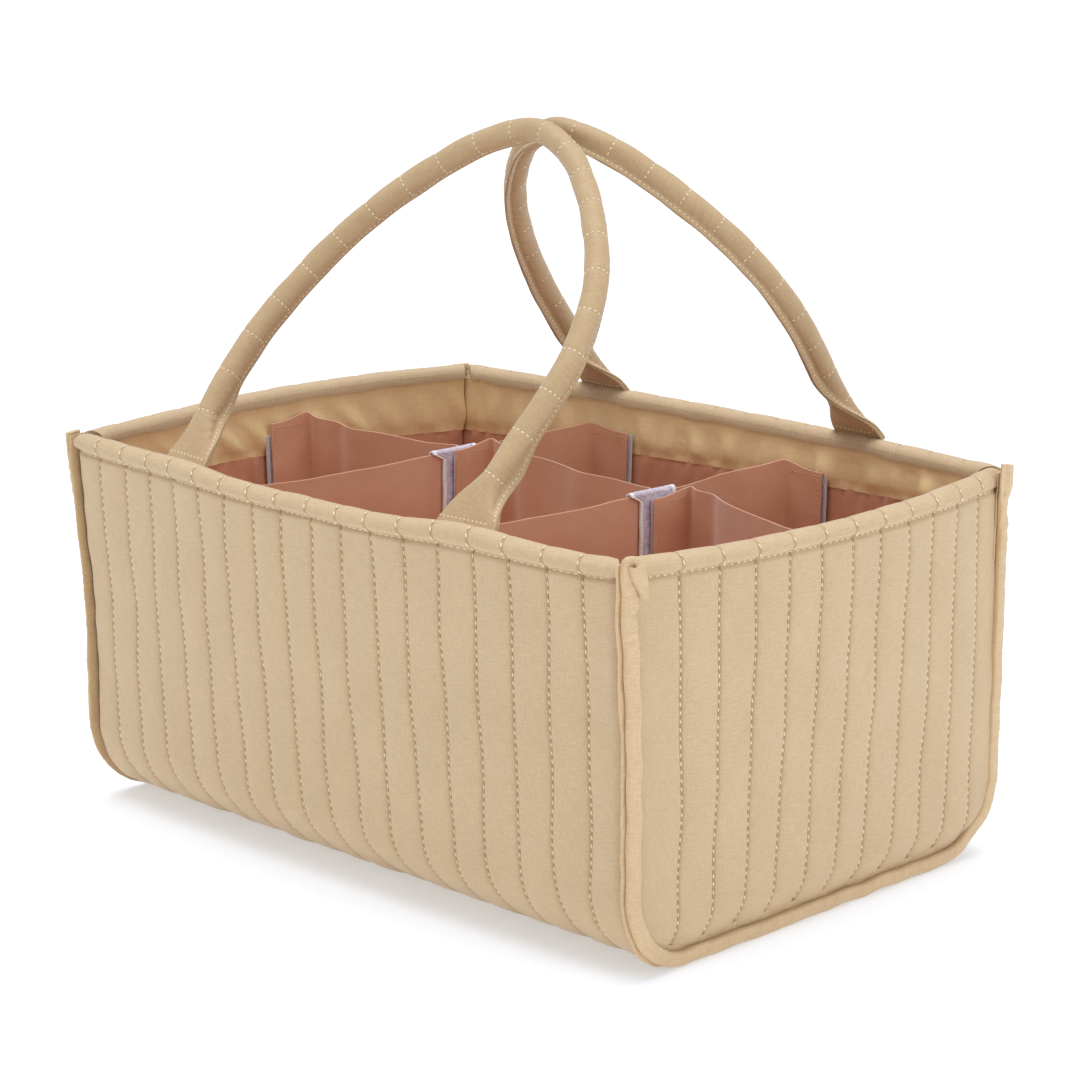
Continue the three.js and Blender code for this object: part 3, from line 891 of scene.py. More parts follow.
@dataclass(frozen=True)
class Quilting:
    """Channels sewn across a panel."""

    half_span: float = HALF_LENGTH
    count: int = 17
    pitch: float = CHANNEL
    relief: float = 0.0013
    pull: float = 0.0008
    pull_width: float = 0.0011
    wander: float = 0.0005
    pucker: float = 0.00016
    soft: float = 0.00036
    corner_crease: float = 0.00030
    hem_share: float = 0.16
    hem_pull: float = 0.75
    hem_flat: float = 0.6
    wander_waves: Pair = (0.050, 0.085)
    pucker_waves: Pair = (0.030, 0.0085)
    soft_waves: Pair = (0.040, 0.060)
    crease_waves: Pair = (0.034, 0.0150)
    still_edge: Pair = (0.018, 0.002)
    creased_edge: Pair = (0.034, 0.008)
    column_shares: tuple[float, ...] = (0.0, 0.03, 0.07, 0.13, 0.25, 0.37, 0.5)
    edge_step: float = 0.0022

    @property
    def seams(self) -> Array:
        """Places of the seams, evenly spaced round the panel's middle."""
        return (np.arange(self.count) - (self.count - 1) / 2.0) * self.pitch

    def columns(self) -> Array:
        """Places of the panel's columns, close together at each seam."""
        offsets = np.array(self.column_shares) * self.pitch
        around = np.concatenate([-offsets[:0:-1], offsets])
        places = (self.seams[:, None] + around).ravel()
        last = float(places.max())
        count = 2 + round((self.half_span - last) / self.edge_step)
        edge = np.linspace(last, self.half_span, count)
        return np.unique(np.round(np.concatenate([places, edge, -edge]), 6))

    def shift(self, s: Array, t: Array, seed: int) -> Array:
        """How far the sewing wanders along the wall, at places across and along a panel."""
        start, end = self.still_edge
        inside = fade(np.abs(s), self.half_span - start, self.half_span - end)
        return self.wander * ripple(s, t, self.wander_waves, seed) * inside

    def depth(self, s: Array, t: Array, seed: int, hem: Array) -> Array:
        """How deep the cloth lies at places across and along a panel.

        Args:
            s: Places across the panel.
            t: Places along it.
            seed: Picks the unevenness.
            hem: 1 on the hem, 0 below it.

        Returns:
            Depths below the crowns of the channels.
        """
        odd = 0.0 if self.count % 2 else 0.5
        from_seam = np.abs(s / self.pitch - odd - np.round(s / self.pitch - odd))
        inside = np.abs(s) < self.count / 2.0 * self.pitch
        share = (1.0 - 2.0 * from_seam) * inside
        groove = self.relief * (0.45 * share**2 + 0.55 * share**6)
        pull = self.pull * bell(from_seam * self.pitch, self.pull_width) * inside
        pucker = self.pucker * share * ripple(s, t, self.pucker_waves, seed + 1)
        soft = self.soft * ripple(s, t, self.soft_waves, seed + 2)
        start, end = self.creased_edge
        corner = step(np.abs(s), self.half_span - start, self.half_span - end)
        crease = self.corner_crease * corner * ripple(s, t, self.crease_waves, seed + 3)
        loose = (groove + pucker) * (1.0 - hem * (1.0 - self.hem_share))
        uneven = (soft + crease) * (1.0 - self.hem_flat * hem)
        return loose + pull * (1.0 - self.hem_pull * hem) + uneven


CHANNEL_STITCH = {"length": 0.0025, "pitch": 0.0037, "width": 0.0009, "slant": 0.16, "sink": -0.00045}
HEM_STITCH = {"length": 0.0022, "pitch": 0.0036, "width": 0.0008, "sink": -0.0003}


@dataclass
class Shell:
    """Quilted outer shell: the long wrap and two end panels, with their channel and hem stitching."""

    finishes: Finishes
    layers: Layers = field(default_factory=Layers)
    quilting: Quilting = field(default_factory=Quilting)
    end_quilting: Quilting = field(
        default_factory=lambda: Quilting(
            HALF_WIDTH, count=11, pitch=END_CHANNEL, pucker=0.00010, corner_crease=0.00012
        )
    )
    corner_round: float = 0.0030
    corner_reach: float = 0.008
    corner_hem: float = 0.85
    hem_slant: float = 0.28
    hem_end_slant: float = 0.5
    slant_reach: float = 0.012
    slant_fade: Pair = (0.150, 0.176)
    end_slant_fade: Pair = (0.100, 0.124)
    hem_wave: float = 0.0004
    hem_wave_length: float = 0.030
    hem_wave_fade: float = 0.005
    hem_edge: Pair = (0.001, 0.003)
    crease_depth: float = 0.0014
    crease_width: float = 0.0014
    crease_proud: float = 0.0008
    mitre: Pair = (0.158, HALF_LENGTH)
    end_mitre: Pair = (0.100, HALF_WIDTH)
    end_mitre_share: float = 0.53
    end_narrowing: float = 0.0051
    end_height: float = 0.160
    base_lift: float = 0.0009
    base_edge: Pair = (0.004, 0.012)
    base_fade: float = 0.02
    near_hem: float = 0.004
    sewn: float = 0.172
    end_sewn: float = 0.118
    inner_sewn: float = 0.96
    inner_end_sewn: float = 0.94
    inner_margin: float = 0.0030

    def __post_init__(self) -> None:
        """Makes the four walls."""
        ends = {"bulge_foot": (0.0, 0.024), "tuck": 0.003}
        self.walls = {
            Side.FRONT: Wall(
                Side.FRONT, 0.018, 0.002, dip=0.0025, rim=(-0.0015, -0.0038, -0.0028),
                humps=((0.090, 0.0036, 0.036), (-0.095, 0.0018, 0.030)),
            ),
            Side.REAR: Wall(Side.REAR, 0.011, 0.002, rim=(0.0, -0.0005, -0.0020)),
            Side.LEFT: Wall(Side.LEFT, 0.017, 0.0062, rim=(-0.0015, 0.0008, 0.0), **ends),
            Side.RIGHT: Wall(Side.RIGHT, 0.015, 0.0062, rim=(-0.0028, -0.0036, -0.0020), **ends),
        }

    def wrap_rows(self) -> tuple[Array, dict[str, float]]:
        """Places of the wrap's rows from the middle of the base up one wall, and where its parts end."""
        flat = self.walls[Side.FRONT].half_width - self.layers.turn_radius
        turned = flat + self.layers.turn_radius * math.pi / 2.0
        hem = turned + self.layers.hem_foot - self.layers.turn_radius
        end = hem + self.layers.hem_length
        parts = [
            np.linspace(0.0, flat, 7)[:-1],
            np.linspace(flat, turned, 17)[:-1],
            np.linspace(turned, hem - self.near_hem, 44)[:-1],
            np.linspace(hem - self.near_hem, hem + self.near_hem, 10)[:-1],
            np.linspace(hem + self.near_hem, end, 17),
        ]
        return np.concatenate(parts), {"flat": flat, "turned": turned, "hem": hem, "end": end}

    def crease(self, from_line: Array) -> Array:
        """Depth of the crease that a topstitch draws in, by the distance past it."""
        groove = self.crease_depth * bell(from_line, self.crease_width)
        return groove - self.crease_proud * step(from_line, 0.0, self.hem_edge[1])

    def hem_end(self, s: Array, left: Array, seed: int) -> Array:
        """How much further down the hem's inner edge hangs, by the cloth left to its end."""
        wave = ripple(s, s * 0.0, (self.hem_wave_length, 1.0), seed)
        return self.hem_wave * wave * fade(left, 0.0, self.hem_wave_fade)

    def at_corner(self, s: Array, half_span: float) -> Array:
        """Depth by which the padding rounds off towards a wall's end."""
        near = step(np.abs(s), half_span - self.corner_reach, half_span)
        return self.corner_round * near**2

    def wrap_surface(self, s: Array, t: Array) -> Array:
        """Points of the quilted wrap. t is 0 in the middle of the base and grows to the rear."""
        _, ends = self.wrap_rows()
        flat, hem = ends["flat"], ends["hem"]
        run = np.abs(t)
        on_hem = step(run, hem - self.hem_edge[0], hem + self.hem_edge[1])
        corner = self.at_corner(s, HALF_LENGTH) * (1.0 - self.corner_hem * on_hem)
        relief = self.quilting.depth(s, t, 11, on_hem) + corner
        relief = relief * step(run, self.base_fade, flat + self.base_fade)
        sunk = relief + self.crease(run - hem)
        turn = np.clip((run - flat) / self.layers.turn_radius, 0.0, math.pi / 2.0)
        radius = self.layers.turn_radius - sunk
        depth = self.layers.turn_radius - radius * np.sin(turn)
        z = self.layers.turn_radius - radius * np.cos(turn)
        depth = depth + np.maximum(flat - run, 0.0)
        z = z + np.maximum(run - ends["turned"], 0.0)
        over = run > hem
        hem_depth, hem_z = self.layers.hem_path(run - hem, sunk)
        depth = np.where(over, hem_depth, depth)
        z = np.maximum(np.where(over, hem_z, z), 0.0)
        z = z + self.base_lift * fade(run, flat - self.base_edge[0], flat + self.base_edge[1])
        z = z - self.hem_end(s, ends["end"] - run, 15)
        mitre = np.maximum(depth, 0.0) * over * step(np.abs(s), *self.mitre) * np.sign(s)
        slant = self.hem_slant * np.clip(run - hem, 0.0, self.slant_reach)
        slant = slant * fade(np.abs(s), *self.slant_fade)
        place = s + self.quilting.shift(s, t, 12) - mitre - slant
        front = self.walls[Side.FRONT].point(place, depth, z)
        rear = self.walls[Side.REAR].point(place, depth, z)
        return np.where((t < 0.0)[:, None], front, rear)

    def build_wrap(self) -> None:
        """The long quilted panel: front wall, base and rear wall, with its hems."""
        half, _ = self.wrap_rows()
        rows = np.concatenate([-half[:0:-1], half])
        wrap = grid("quilted_wrap_cover", self.quilting.columns(), rows, self.wrap_surface)
        thicken(wrap, self.layers.quilt, 1.0)
        dress(wrap, self.finishes.quilt, "shell", ("quilted_wrap",))

    def end_rows(self) -> tuple[Array, float]:
        """Places of an end panel's rows up its cloth and over its hem, and where the hem ends."""
        hem = self.end_height
        end = hem + self.layers.hem_length
        parts = [
            np.linspace(0.0, hem - self.hem_wave_fade, 62)[:-1],
            np.linspace(hem - self.hem_wave_fade, hem, 6)[:-1],
            np.linspace(hem, hem + self.near_hem, 6)[:-1],
            np.linspace(hem + self.near_hem, end, 17),
        ]
        return np.concatenate(parts), end

    def end_surface(self, side: Side) -> Surface:
        """The surface of one end panel."""
        wall = self.walls[side]
        seed = 31 if side is Side.LEFT else 51
        _, end = self.end_rows()

        def surface(s: Array, t: Array) -> Array:
            """Points by the places across the panel and up its cloth."""
            over = t > self.end_height
            low = self.layers.turn_height(s)
            up = low + (self.layers.hem_foot - low) * np.clip(t / self.end_height, 0.0, 1.0)
            hem_run = np.where(over, t - self.end_height, 0.0)
            line = self.layers.hem_foot
            on_hem = step(up + hem_run, line - self.hem_edge[0], line + self.hem_edge[1])
            from_line = np.where(over, hem_run, up - line)
            sunk = self.end_quilting.depth(s, up + hem_run, seed, on_hem) + self.crease(from_line)
            hem_depth, hem_z = self.layers.hem_path(hem_run, sunk)
            depth = np.where(over, hem_depth, sunk)
            z = np.where(over, hem_z, up) - self.hem_end(s, end - t, seed + 4)
            near_end = step(np.abs(s), *self.end_mitre)
            drawn = np.maximum(depth, 0.0) * over * self.end_mitre_share * near_end
            mitre = (self.end_narrowing * near_end + drawn) * np.sign(s)
            slant = self.hem_slant * np.clip(hem_run, 0.0, self.slant_reach)
            slant = slant * fade(np.abs(s), *self.end_slant_fade)
            shift = self.end_quilting.shift(s, up, seed + 5)
            place = s + shift - mitre + self.hem_end_slant * wall.side.sign * slant
            return wall.point(place, depth, z)

        return surface

    def build_end(self, side: Side) -> None:
        """One quilted end panel with rounded lower corners and its hem."""
        rows, _ = self.end_rows()
        columns = self.end_quilting.columns()
        panel = grid(f"quilted_end_{side.value}_cover", columns, rows, self.end_surface(side))
        if side is Side.LEFT:
            edit(panel, bpy.ops.mesh.flip_normals)
        thicken(panel, self.layers.quilt, -1.0)
        dress(panel, self.finishes.end_quilt, "shell", (f"quilted_end_{side.value}",))

    def sew_channels(self) -> None:
        """Stitches in every channel seam and along the hems."""
        _, ends = self.wrap_rows()
        crest = self.layers.height - self.layers.roll - self.layers.hem_foot + self.layers.roll * 1.5
        line = np.linspace(-ends["hem"] - crest, ends["hem"] + crest, 1600)
        seams = Stitching("wrap_channel_stitches", self.finishes.cream, "shell", "quilt", **CHANNEL_STITCH)
        wrap = self.turned(self.wrap_surface)
        for place in self.quilting.seams:
            seams.sew(wrap, np.full_like(line, place), line)
        seams.finish()
        hems = Stitching("hem_stitches", self.finishes.cream, "shell", "quilt", **HEM_STITCH)
        along = np.linspace(-self.sewn, self.sewn, 500)
        for way in (-1.0, 1.0):
            hems.sew(wrap, along, np.full_like(along, way * ends["hem"]))
        inner = Stitching("hem_inner_stitches", self.finishes.tan, "shell", "quilt", length=0.0013)
        inside = ends["end"] - self.inner_margin
        for way in (-1.0, 1.0):
            inner.sew(wrap, along * self.inner_sewn, np.full_like(along, way * inside))
        _, end = self.end_rows()
        across = np.linspace(-self.end_sewn, self.end_sewn, 400)
        up = np.linspace(0.002, self.end_height + crest, 560)
        for side in (Side.LEFT, Side.RIGHT):
            surface = self.end_surface(side)
            flipped = self.turned(surface) if side is Side.LEFT else surface
            name = f"end_channel_stitches_{side.value}"
            channel = Stitching(name, self.finishes.cream, "shell", "quilt", **CHANNEL_STITCH)
            for place in self.end_quilting.seams:
                channel.sew(flipped, np.full_like(up, place), up)
            channel.finish()
            hems.sew(flipped, across, np.full_like(across, self.end_height))
            inner.sew(flipped, across * self.inner_end_sewn, np.full_like(across, end - self.inner_margin))
        hems.finish()
        inner.finish()

    def turned(self, surface: Surface) -> Surface:
        """The same surface with its across direction turned round, so that its normal is too."""
        return lambda s, t: surface(-s, t)


@dataclass(frozen=True)
class SeamPath:
    """The line that a bound seam follows round an end panel, with a hook at its front end if it has one."""

    top: float
    hook: float
    half_width: float = HALF_WIDTH
    turn_radius: float = TURN_RADIUS
    tail_lean: float = 0.16

    @property
    def lengths(self) -> tuple[float, float, float]:
        """Lengths of the upright, the turn and half of the bottom."""
        upright = self.top - self.turn_radius
        return upright, self.turn_radius * math.pi / 2.0, self.half_width - self.turn_radius

    @property
    def length(self) -> float:
        """Whole length of the seam, without its hook."""
        return 2.0 * sum(self.lengths)

    def run(self, t: Array) -> Array:
        """Distance from the nearer end, below zero past it."""
        return self.length / 2.0 - np.abs(t - self.length / 2.0)

    def over(self, t: Array) -> Array:
        """How far round the hook's bend a place is, as an angle."""
        return np.clip(-t / self.hook, 0.0, math.pi) if self.hook else np.zeros_like(t)

    def down(self, t: Array) -> Array:
        """Distance down the hook's tail."""
        return np.maximum(-t - math.pi * self.hook, 0.0) if self.hook else np.zeros_like(t)

    def place(self, t: Array) -> tuple[Array, Array, Array, Array]:
        """Place and outward direction along the seam, from the front rim round to the rear rim.

        Args:
            t: Distances along the seam, past its ends on the hook.

        Returns:
            y, z and the outward direction's y and z.
        """
        upright, turn, _ = self.lengths
        run = self.run(t)
        angle = np.clip((run - upright) / self.turn_radius, 0.0, math.pi / 2.0)
        out, up = np.cos(angle), -np.sin(angle)
        y = self.half_width - self.turn_radius * (1.0 - out) - np.maximum(run - upright - turn, 0.0)
        z = self.turn_radius * (1.0 + up) + np.maximum(upright - np.maximum(run, 0.0), 0.0)
        over = self.over(t)
        down = self.down(t)
        y = y - self.hook * (1.0 - np.cos(over)) - self.tail_lean * down
        z = z + self.hook * np.sin(over) - down
        z = z + np.where((run < 0.0) & (over == 0.0), -run, 0.0)
        out = out * np.cos(over)
        up = np.where(over > 0.0, np.sin(over), up)
        way = np.where(t < self.length / 2.0, -1.0, 1.0)
        return way * y, z, way * out, up


@dataclass
class BoundSeam:
    """The bound seam round one end panel: a plump strip with folded ends and the layer under it."""

    shell: Shell
    side: Side
    width: float = 0.0070
    thickness: float = 0.0040
    under_width: float = 0.0102
    under_thickness: float = 0.0010
    proud: float = 0.0010
    stand_off: float = 0.0024
    lift: float = 0.0006
    cross_over: float = 0.0022
    tail: float = 0.0168
    hook_rise: float = 0.0030
    plain_spread: float = 0.30
    plain_spread_fade: Pair = (0.004, 0.030)
    flat_spread: float = 0.80
    flat_spread_fade: Pair = (0.008, 0.016)
    gather: float = 0.08
    gather_fade: Pair = (-0.001, 0.014)
    taper: float = 0.50
    taper_length: float = 0.011
    squareness: float = 0.66
    under_squareness: float = 0.5
    ruche: float = 0.00030
    ruche_waves: Pair = (0.012, 0.0052)
    ruche_top: Pair = (0.026, 0.014)
    ruche_start: Pair = (0.001, 0.010)
    rear_ruche: float = 0.3
    wander: Waves = Waves(0.00035, 1.0, 0.032)
    wrinkle: Waves = Waves(0.00009, 0.006, 0.0026)
    plumpness: Waves = Waves(0.08, 1.0, 0.021)
    overlap: float = 0.0004
    slit_place: float = 0.0022
    slit_width: float = 0.0007
    slit_depth: float = 0.0024
    slit_fade: Pair = (0.011, 0.014)
    flat_rise: float = 0.0016
    flat_slope: float = 0.22
    fray: Waves = Waves(0.00030, 1.0, 0.0028)
    under_wander: Waves = Waves(0.0003, 1.0, 0.024)
    under_lift: Waves = Waves(0.0002, 1.0, 0.012)
    under_out: float = 0.0004
    lip: float = 0.0005
    front_shift: float = 0.0
    rear_shift: float = 0.0

    def __post_init__(self) -> None:
        """Chooses the seam's line: the right one ends in a hook at the front, the others are plain."""
        hooked = self.side is Side.RIGHT
        self.path = SeamPath(0.1852, 0.0021) if hooked else SeamPath(0.1840, 0.0)
        self.past_front = math.pi * self.path.hook + self.tail if hooked else 0.0012
        self.past_rear = 0.0024 if hooked else 0.0004

    def section(self, around: Array, width: Array, thickness: Array, square: float) -> tuple[Array, Array]:
        """Across and proud places of a flattened oval section."""
        c, s = np.cos(around), np.sin(around)
        across = width / 2.0 * np.sign(c) * np.abs(c) ** square
        out = thickness / 2.0 * np.sign(s) * np.abs(s) ** square
        return across, out

    def upright(self, t: Array) -> Array:
        """1 on the seam's uprights, falling to 0 along its bottom."""
        _, _, way_y, _ = self.path.place(t)
        return np.where(self.path.run(t) < 0.0, 1.0, np.abs(way_y))

    def place(self, across: Array, out: Array, t: Array) -> Array:
        """Points near the seam: across it from its outer edge inwards, and out from the end wall."""
        y, z, way_y, way_z = self.path.place(t)
        shift = np.where(t < self.path.length / 2.0, self.front_shift, self.rear_shift)
        inward = across + self.lift - (self.stand_off + self.lift - shift) * self.upright(t)
        y = y - way_y * inward
        z = z - way_z * inward
        wall = self.shell.walls[self.side]
        bare = Wall(self.side, wall.bow, 0.0, tuck=wall.tuck)
        x = self.side.sign * (bare.face(y, np.minimum(z, wall.height)) + out)
        return lean_corners(np.stack([x, y, np.maximum(z + wall.sag(y, z), 0.0)], axis=-1))

    def slim(self, t: Array) -> Array:
        """Share of its width that the strip keeps: it gathers below a hook and spreads at a plain end."""
        run = self.path.run(t)
        if not self.path.hook:
            return 1.0 + self.plain_spread * fade(run, *self.plain_spread_fade)
        spread = 1.0 + self.flat_spread * fade(run, *self.flat_spread_fade)
        gather = 1.0 - self.gather * fade(run, *self.gather_fade)
        down = self.path.down(t)
        taper = 1.0 - self.taper * step(down, self.tail - self.taper_length, self.tail)
        return np.where(t < self.path.length / 2.0, gather * taper, spread)

    def strip_surface(self, around: Array, t: Array) -> Array:
        """Points of the plump outer strip."""
        seed = 70 + self.side.sign
        slim = self.slim(t)
        height = self.thickness * np.where(slim > 1.0, 1.6 - 0.6 * slim, 0.35 + 0.65 * slim)
        across, out = self.section(around, self.width * slim, height, self.squareness)
        still = t * 0.0
        run = self.path.run(t)
        front_end = np.where(t < self.path.length / 2.0, 1.0, self.rear_ruche)
        place, reach = self.ruche_top
        near_top = bell(run - place, reach) * front_end
        held = step(run, *self.ruche_start)
        fold = self.ruche * (0.35 + 1.5 * near_top) * ripple(across, t, self.ruche_waves, seed + 1) * held
        wrinkle = self.wrinkle.at(across, t, seed + 2) * held
        plump = 1.0 + self.plumpness.at(still, t, seed + 3)
        face = step(np.sin(around), -0.2, 0.6)
        over = self.cross_over * self.upright(t) - self.overlap
        rise = self.hook_rise * step(self.path.over(t), 0.3, math.pi)
        slit = bell(across - self.slit_place, self.slit_width)
        slit = slit * fade(run, *self.slit_fade) * (slim > 1.4)
        rise = rise - self.slit_depth * slit * face + self.flat_rise * np.clip(slim - 1.0, 0.0, 0.8)
        out = self.proud + self.thickness / 2.0 + out * plump + (fold + wrinkle) * face + rise
        flat = np.clip((slim - 1.3) / 0.5, 0.0, 1.0)
        level = self.flat_slope * (across + self.width * slim / 2.0) * flat
        inward = across + self.width / 2.0 + over + self.wander.at(still, t, seed)
        return self.place(inward, out, t + level)

    def under_surface(self, around: Array, t: Array) -> Array:
        """Points of the thin layer under the strip, with a slightly frayed edge."""
        seed = 80 + self.side.sign
        still = t * 0.0
        width = self.under_width + self.fray.at(still, t, seed + 4)
        across, out = self.section(around, width, self.under_thickness + still, self.under_squareness)
        lifted = self.under_out + self.under_thickness / 2.0 + self.under_lift.at(still, t, seed + 1)
        lip = self.lip * step(across, self.width * 0.45, self.width * 0.7)
        inward = across + self.under_width / 2.0 + self.under_wander.at(still, t, seed)
        return self.place(inward, lifted + out + lip, t)

    def build(self) -> None:
        """Builds the strip and its under layer."""
        side = self.side.value
        finish = self.shell.finishes.binding
        t = np.linspace(-self.past_front, self.path.length + self.past_rear, 560)
        ring = np.linspace(0.0, 2.0 * math.pi, 41)
        girth = (self.width + self.thickness) * 1.7
        strip = grid(f"binding_{side}_strip", ring, t, self.strip_surface, (girth / (2.0 * math.pi), 1.0))
        close_up(strip)
        smooth(strip, 70.0)
        dress(strip, finish, "shell", (f"binding_{side}",))
        ring = np.linspace(0.0, 2.0 * math.pi, 17)
        t = np.linspace(0.0, self.path.length, 560)
        turn = 2.0 * self.under_width / (2.0 * math.pi)
        under = grid(f"binding_{side}_under_layer", ring, t, self.under_surface, (turn, 1.0))
        close_up(under)
        smooth(under, 60.0)
        dress(under, finish, "shell")
        flat = (self.under_width, self.path.length)


# Inside


Place = Callable[[Array, Array, Array], Array]


@dataclass
class Interior:
    """Foam, lining and facing, and the faces that the wall tapes lie on."""

    shell: Shell
    seam: float = 0.1567
    hem_foot: float = 0.1795
    foam_depth: float = 0.0072
    foam_thickness: float = 0.0026
    lining_depth: float = 0.0099
    lining_thickness: float = 0.0008
    face_depth: float = 0.0104
    long_reach: float = 0.1747
    end_reach: float = 0.1163
    foam_heights: Pair = (0.040, 0.1740)
    foam_reaches: Pair = (0.168, 0.115)
    gather: Waves = Waves(0.0011, 0.0090, 0.060)
    gather_reach: float = 0.022
    fold: Waves = Waves(0.0014, 0.038, 0.130)
    fold_start: float = 0.030
    fold_turn: Pair = (0.01, 0.02)
    tuck: float = 0.0007
    tuck_reach: float = 0.0022
    deepest: float = 0.0004
    free_heights: Pair = (0.012, 0.040)
    facing_crease: Waves = Waves(0.0015, 0.024, 0.080)
    facing_gather: Waves = Waves(0.0004, 0.008, 0.060)
    facing_pucker: Waves = Waves(0.00022, 0.0042, 0.060)
    facing_deepest: float = 0.0005
    facing_puff: float = 0.0009
    facing_fades: Pair = (0.006, 0.004)
    under_hem: Pair = (0.016, 0.003)
    slope_run: Pair = (0.030, 0.100)
    slope_share: Pair = (0.30, 0.95)
    floor_gap: float = 0.0005
    tape_edge: float = 0.006
    seam_stitch_drop: float = 0.0042
    calm: dict[Side, list[Pair]] = field(
        default_factory=lambda: {
            Side.FRONT: [(-0.083, -0.052), (0.047, 0.078)],
            Side.REAR: [(-0.083, -0.052), (0.047, 0.078)],
            Side.LEFT: [(-0.009, 0.024)],
            Side.RIGHT: [(-0.025, 0.008)],
        }
    )

    def reach(self, side: Side) -> float:
        """Half of a lining panel's length."""
        return self.long_reach if side.is_long else self.end_reach

    @property
    def bend(self) -> Pair:
        """Radius of the lining's turn beside the base, and where the turn ends."""
        radius = TURN_RADIUS - self.lining_depth
        return radius, FLAT_HALF + radius * math.pi / 2.0

    def slope(self, side: Side, s: Array) -> Array:
        """How far the facing's seam stands above its usual height, along a wall."""
        heights = {Side.REAR: (-0.0050, 0.0045), Side.LEFT: (0.0005, -0.0050)}
        first, last = heights.get(side, (0.0, 0.0))
        share = (np.clip(s / self.reach(side), -1.0, 1.0) + 1.0) / 2.0
        return first + (last - first) * share

    def taped(self, side: Side, s: Array) -> Array:
        """1 where a tape holds the lining flat, 0 elsewhere."""
        held = np.zeros_like(s)
        for low, high in self.calm[side]:
            past = step(s, high, high + self.tape_edge)
            held = np.maximum(held, step(s, low - self.tape_edge, low) * (1.0 - past))
        return held

    def lining_fold(self, side: Side, s: Array, z: Array) -> Array:
        """How far the lining swells into the caddy."""
        seed = 200 + 7 * list(Side).index(side)
        down = self.seam - z
        gather = self.gather.at(s, z, seed) * np.exp(-(down / self.gather_reach))
        fold = self.fold.at(s, z, seed + 1) * step(down, 0.0, self.fold_start)
        tuck = -self.tuck * bell(down, self.tuck_reach)
        free = (1.0 - self.taped(side, s)) * step(z, *self.free_heights)
        return np.maximum(gather + fold, -self.deepest) * free + tuck

    def facing_fold(self, side: Side, s: Array, z: Array) -> Array:
        """How far the facing swells into the caddy."""
        seed = 300 + 7 * list(Side).index(side)
        lean = {Side.LEFT: 0.9, Side.RIGHT: -0.7}.get(side, 0.12)
        slanted = s + lean * (z - self.seam)
        above, below = self.facing_fades
        fold = self.facing_crease.at(slanted, z, seed)
        under_hem = step(z, self.hem_foot - self.under_hem[0], self.hem_foot - self.under_hem[1])
        middle = step(z, self.seam, self.seam + above) * (1.0 - under_hem)
        gather = self.facing_gather.at(s, z, seed + 1) * np.exp(-((z - self.seam) / above))
        pucker = self.facing_pucker.at(s, z, seed + 2) * np.exp((z - self.hem_foot) / below)
        crease = np.maximum(fold * (0.08 + 0.92 * middle) + gather, -self.facing_deepest)
        return crease + self.facing_puff * middle + pucker

    def wrap_lining_surface(self, s: Array, t: Array) -> Array:
        """Points of the lining of the long walls and the base."""
        radius, turned = self.bend
        run = np.abs(t)
        up = np.maximum(run - turned, 0.0)
        front = self.lining_fold(Side.FRONT, s, TURN_RADIUS + up)
        rear = self.lining_fold(Side.REAR, s, TURN_RADIUS + up)
        start, end = self.fold_turn
        fold = np.where(t < 0.0, front, rear) * step(run, turned - start, turned + end)
        angle = np.clip((run - FLAT_HALF) / radius, 0.0, math.pi / 2.0)
        inner = radius - fold
        depth = TURN_RADIUS - inner * np.sin(angle) + np.maximum(FLAT_HALF - run, 0.0)
        start, end = self.slope_run
        slope = np.where(t < 0.0, 0.0, self.slope(Side.REAR, s)) * step(run, turned + start, turned + end)
        z = TURN_RADIUS - inner * np.cos(angle) + up + slope
        walls = self.shell.walls
        near = walls[Side.FRONT].point(s, depth, z)
        far = walls[Side.REAR].point(s, depth, z)
        return np.where((t < 0.0)[:, None], near, far)

    def end_lining_surface(self, side: Side) -> Surface:
        """Points of the lining of one end wall."""
        wall = self.shell.walls[side]
        layers = self.shell.layers

        def surface(s: Array, t: Array) -> Array:
            """Points by the places along the wall and the share of the lining's height."""
            low = layers.turn_height(s, self.lining_depth)
            low = np.where(np.abs(s) < FLAT_HALF, self.lining_depth, low) + self.floor_gap
            z = low + (self.seam - low) * t
            slope = self.slope(side, s) * step(t, *self.slope_share)
            return wall.point(s, self.lining_depth + self.lining_fold(side, s, z), z + slope)

        return surface

    def facing_surface(self, side: Side) -> Surface:
        """Points of the facing on one wall."""
        wall = self.shell.walls[side]

        def surface(s: Array, z: Array) -> Array:
            """Points by the places along the wall and their heights."""
            depth = self.lining_depth + self.facing_fold(side, s, z)
            down = fade(z, self.seam, self.hem_foot - 0.002)
            return wall.point(s, depth, z + self.slope(side, s) * down)

        return surface

    def foam_surface(self, side: Side) -> Surface:
        """Points of the foam in one wall."""
        wall = self.shell.walls[side]
        return lambda s, z: wall.point(s, self.foam_depth + 0.0 * s, z)

    def build(self) -> None:
        """Builds everything that lines the walls."""
        finishes = self.shell.finishes
        for side in Side:
            self.build_foam(side)
            self.build_facing(side)
        _, turned = self.bend
        end = turned + self.seam - TURN_RADIUS
        half = np.concatenate([np.linspace(0.0, turned, 26)[:-1], np.linspace(turned, end, 48)])
        rows = np.concatenate([-half[:0:-1], half])
        columns = np.linspace(-self.long_reach, self.long_reach, 176)
        lining = grid("lining_wrap_cloth", columns, rows, self.wrap_lining_surface)
        thicken(lining, self.lining_thickness)
        dress(lining, finishes.lining, "shell", ("lining_wrap",))
        2.0 * end
        for side in (Side.LEFT, Side.RIGHT):
            columns = np.linspace(-self.end_reach, self.end_reach, 118)
            rows = np.linspace(0.0, 1.0, 56)
            surface = self.end_lining_surface(side)
            panel = grid(f"lining_{side.value}_cloth", columns, rows, surface, (1.0, 0.146))
            thicken(panel, self.lining_thickness)
            dress(panel, finishes.lining, "shell", (f"lining_{side.value}",))
        self.sew_seam()

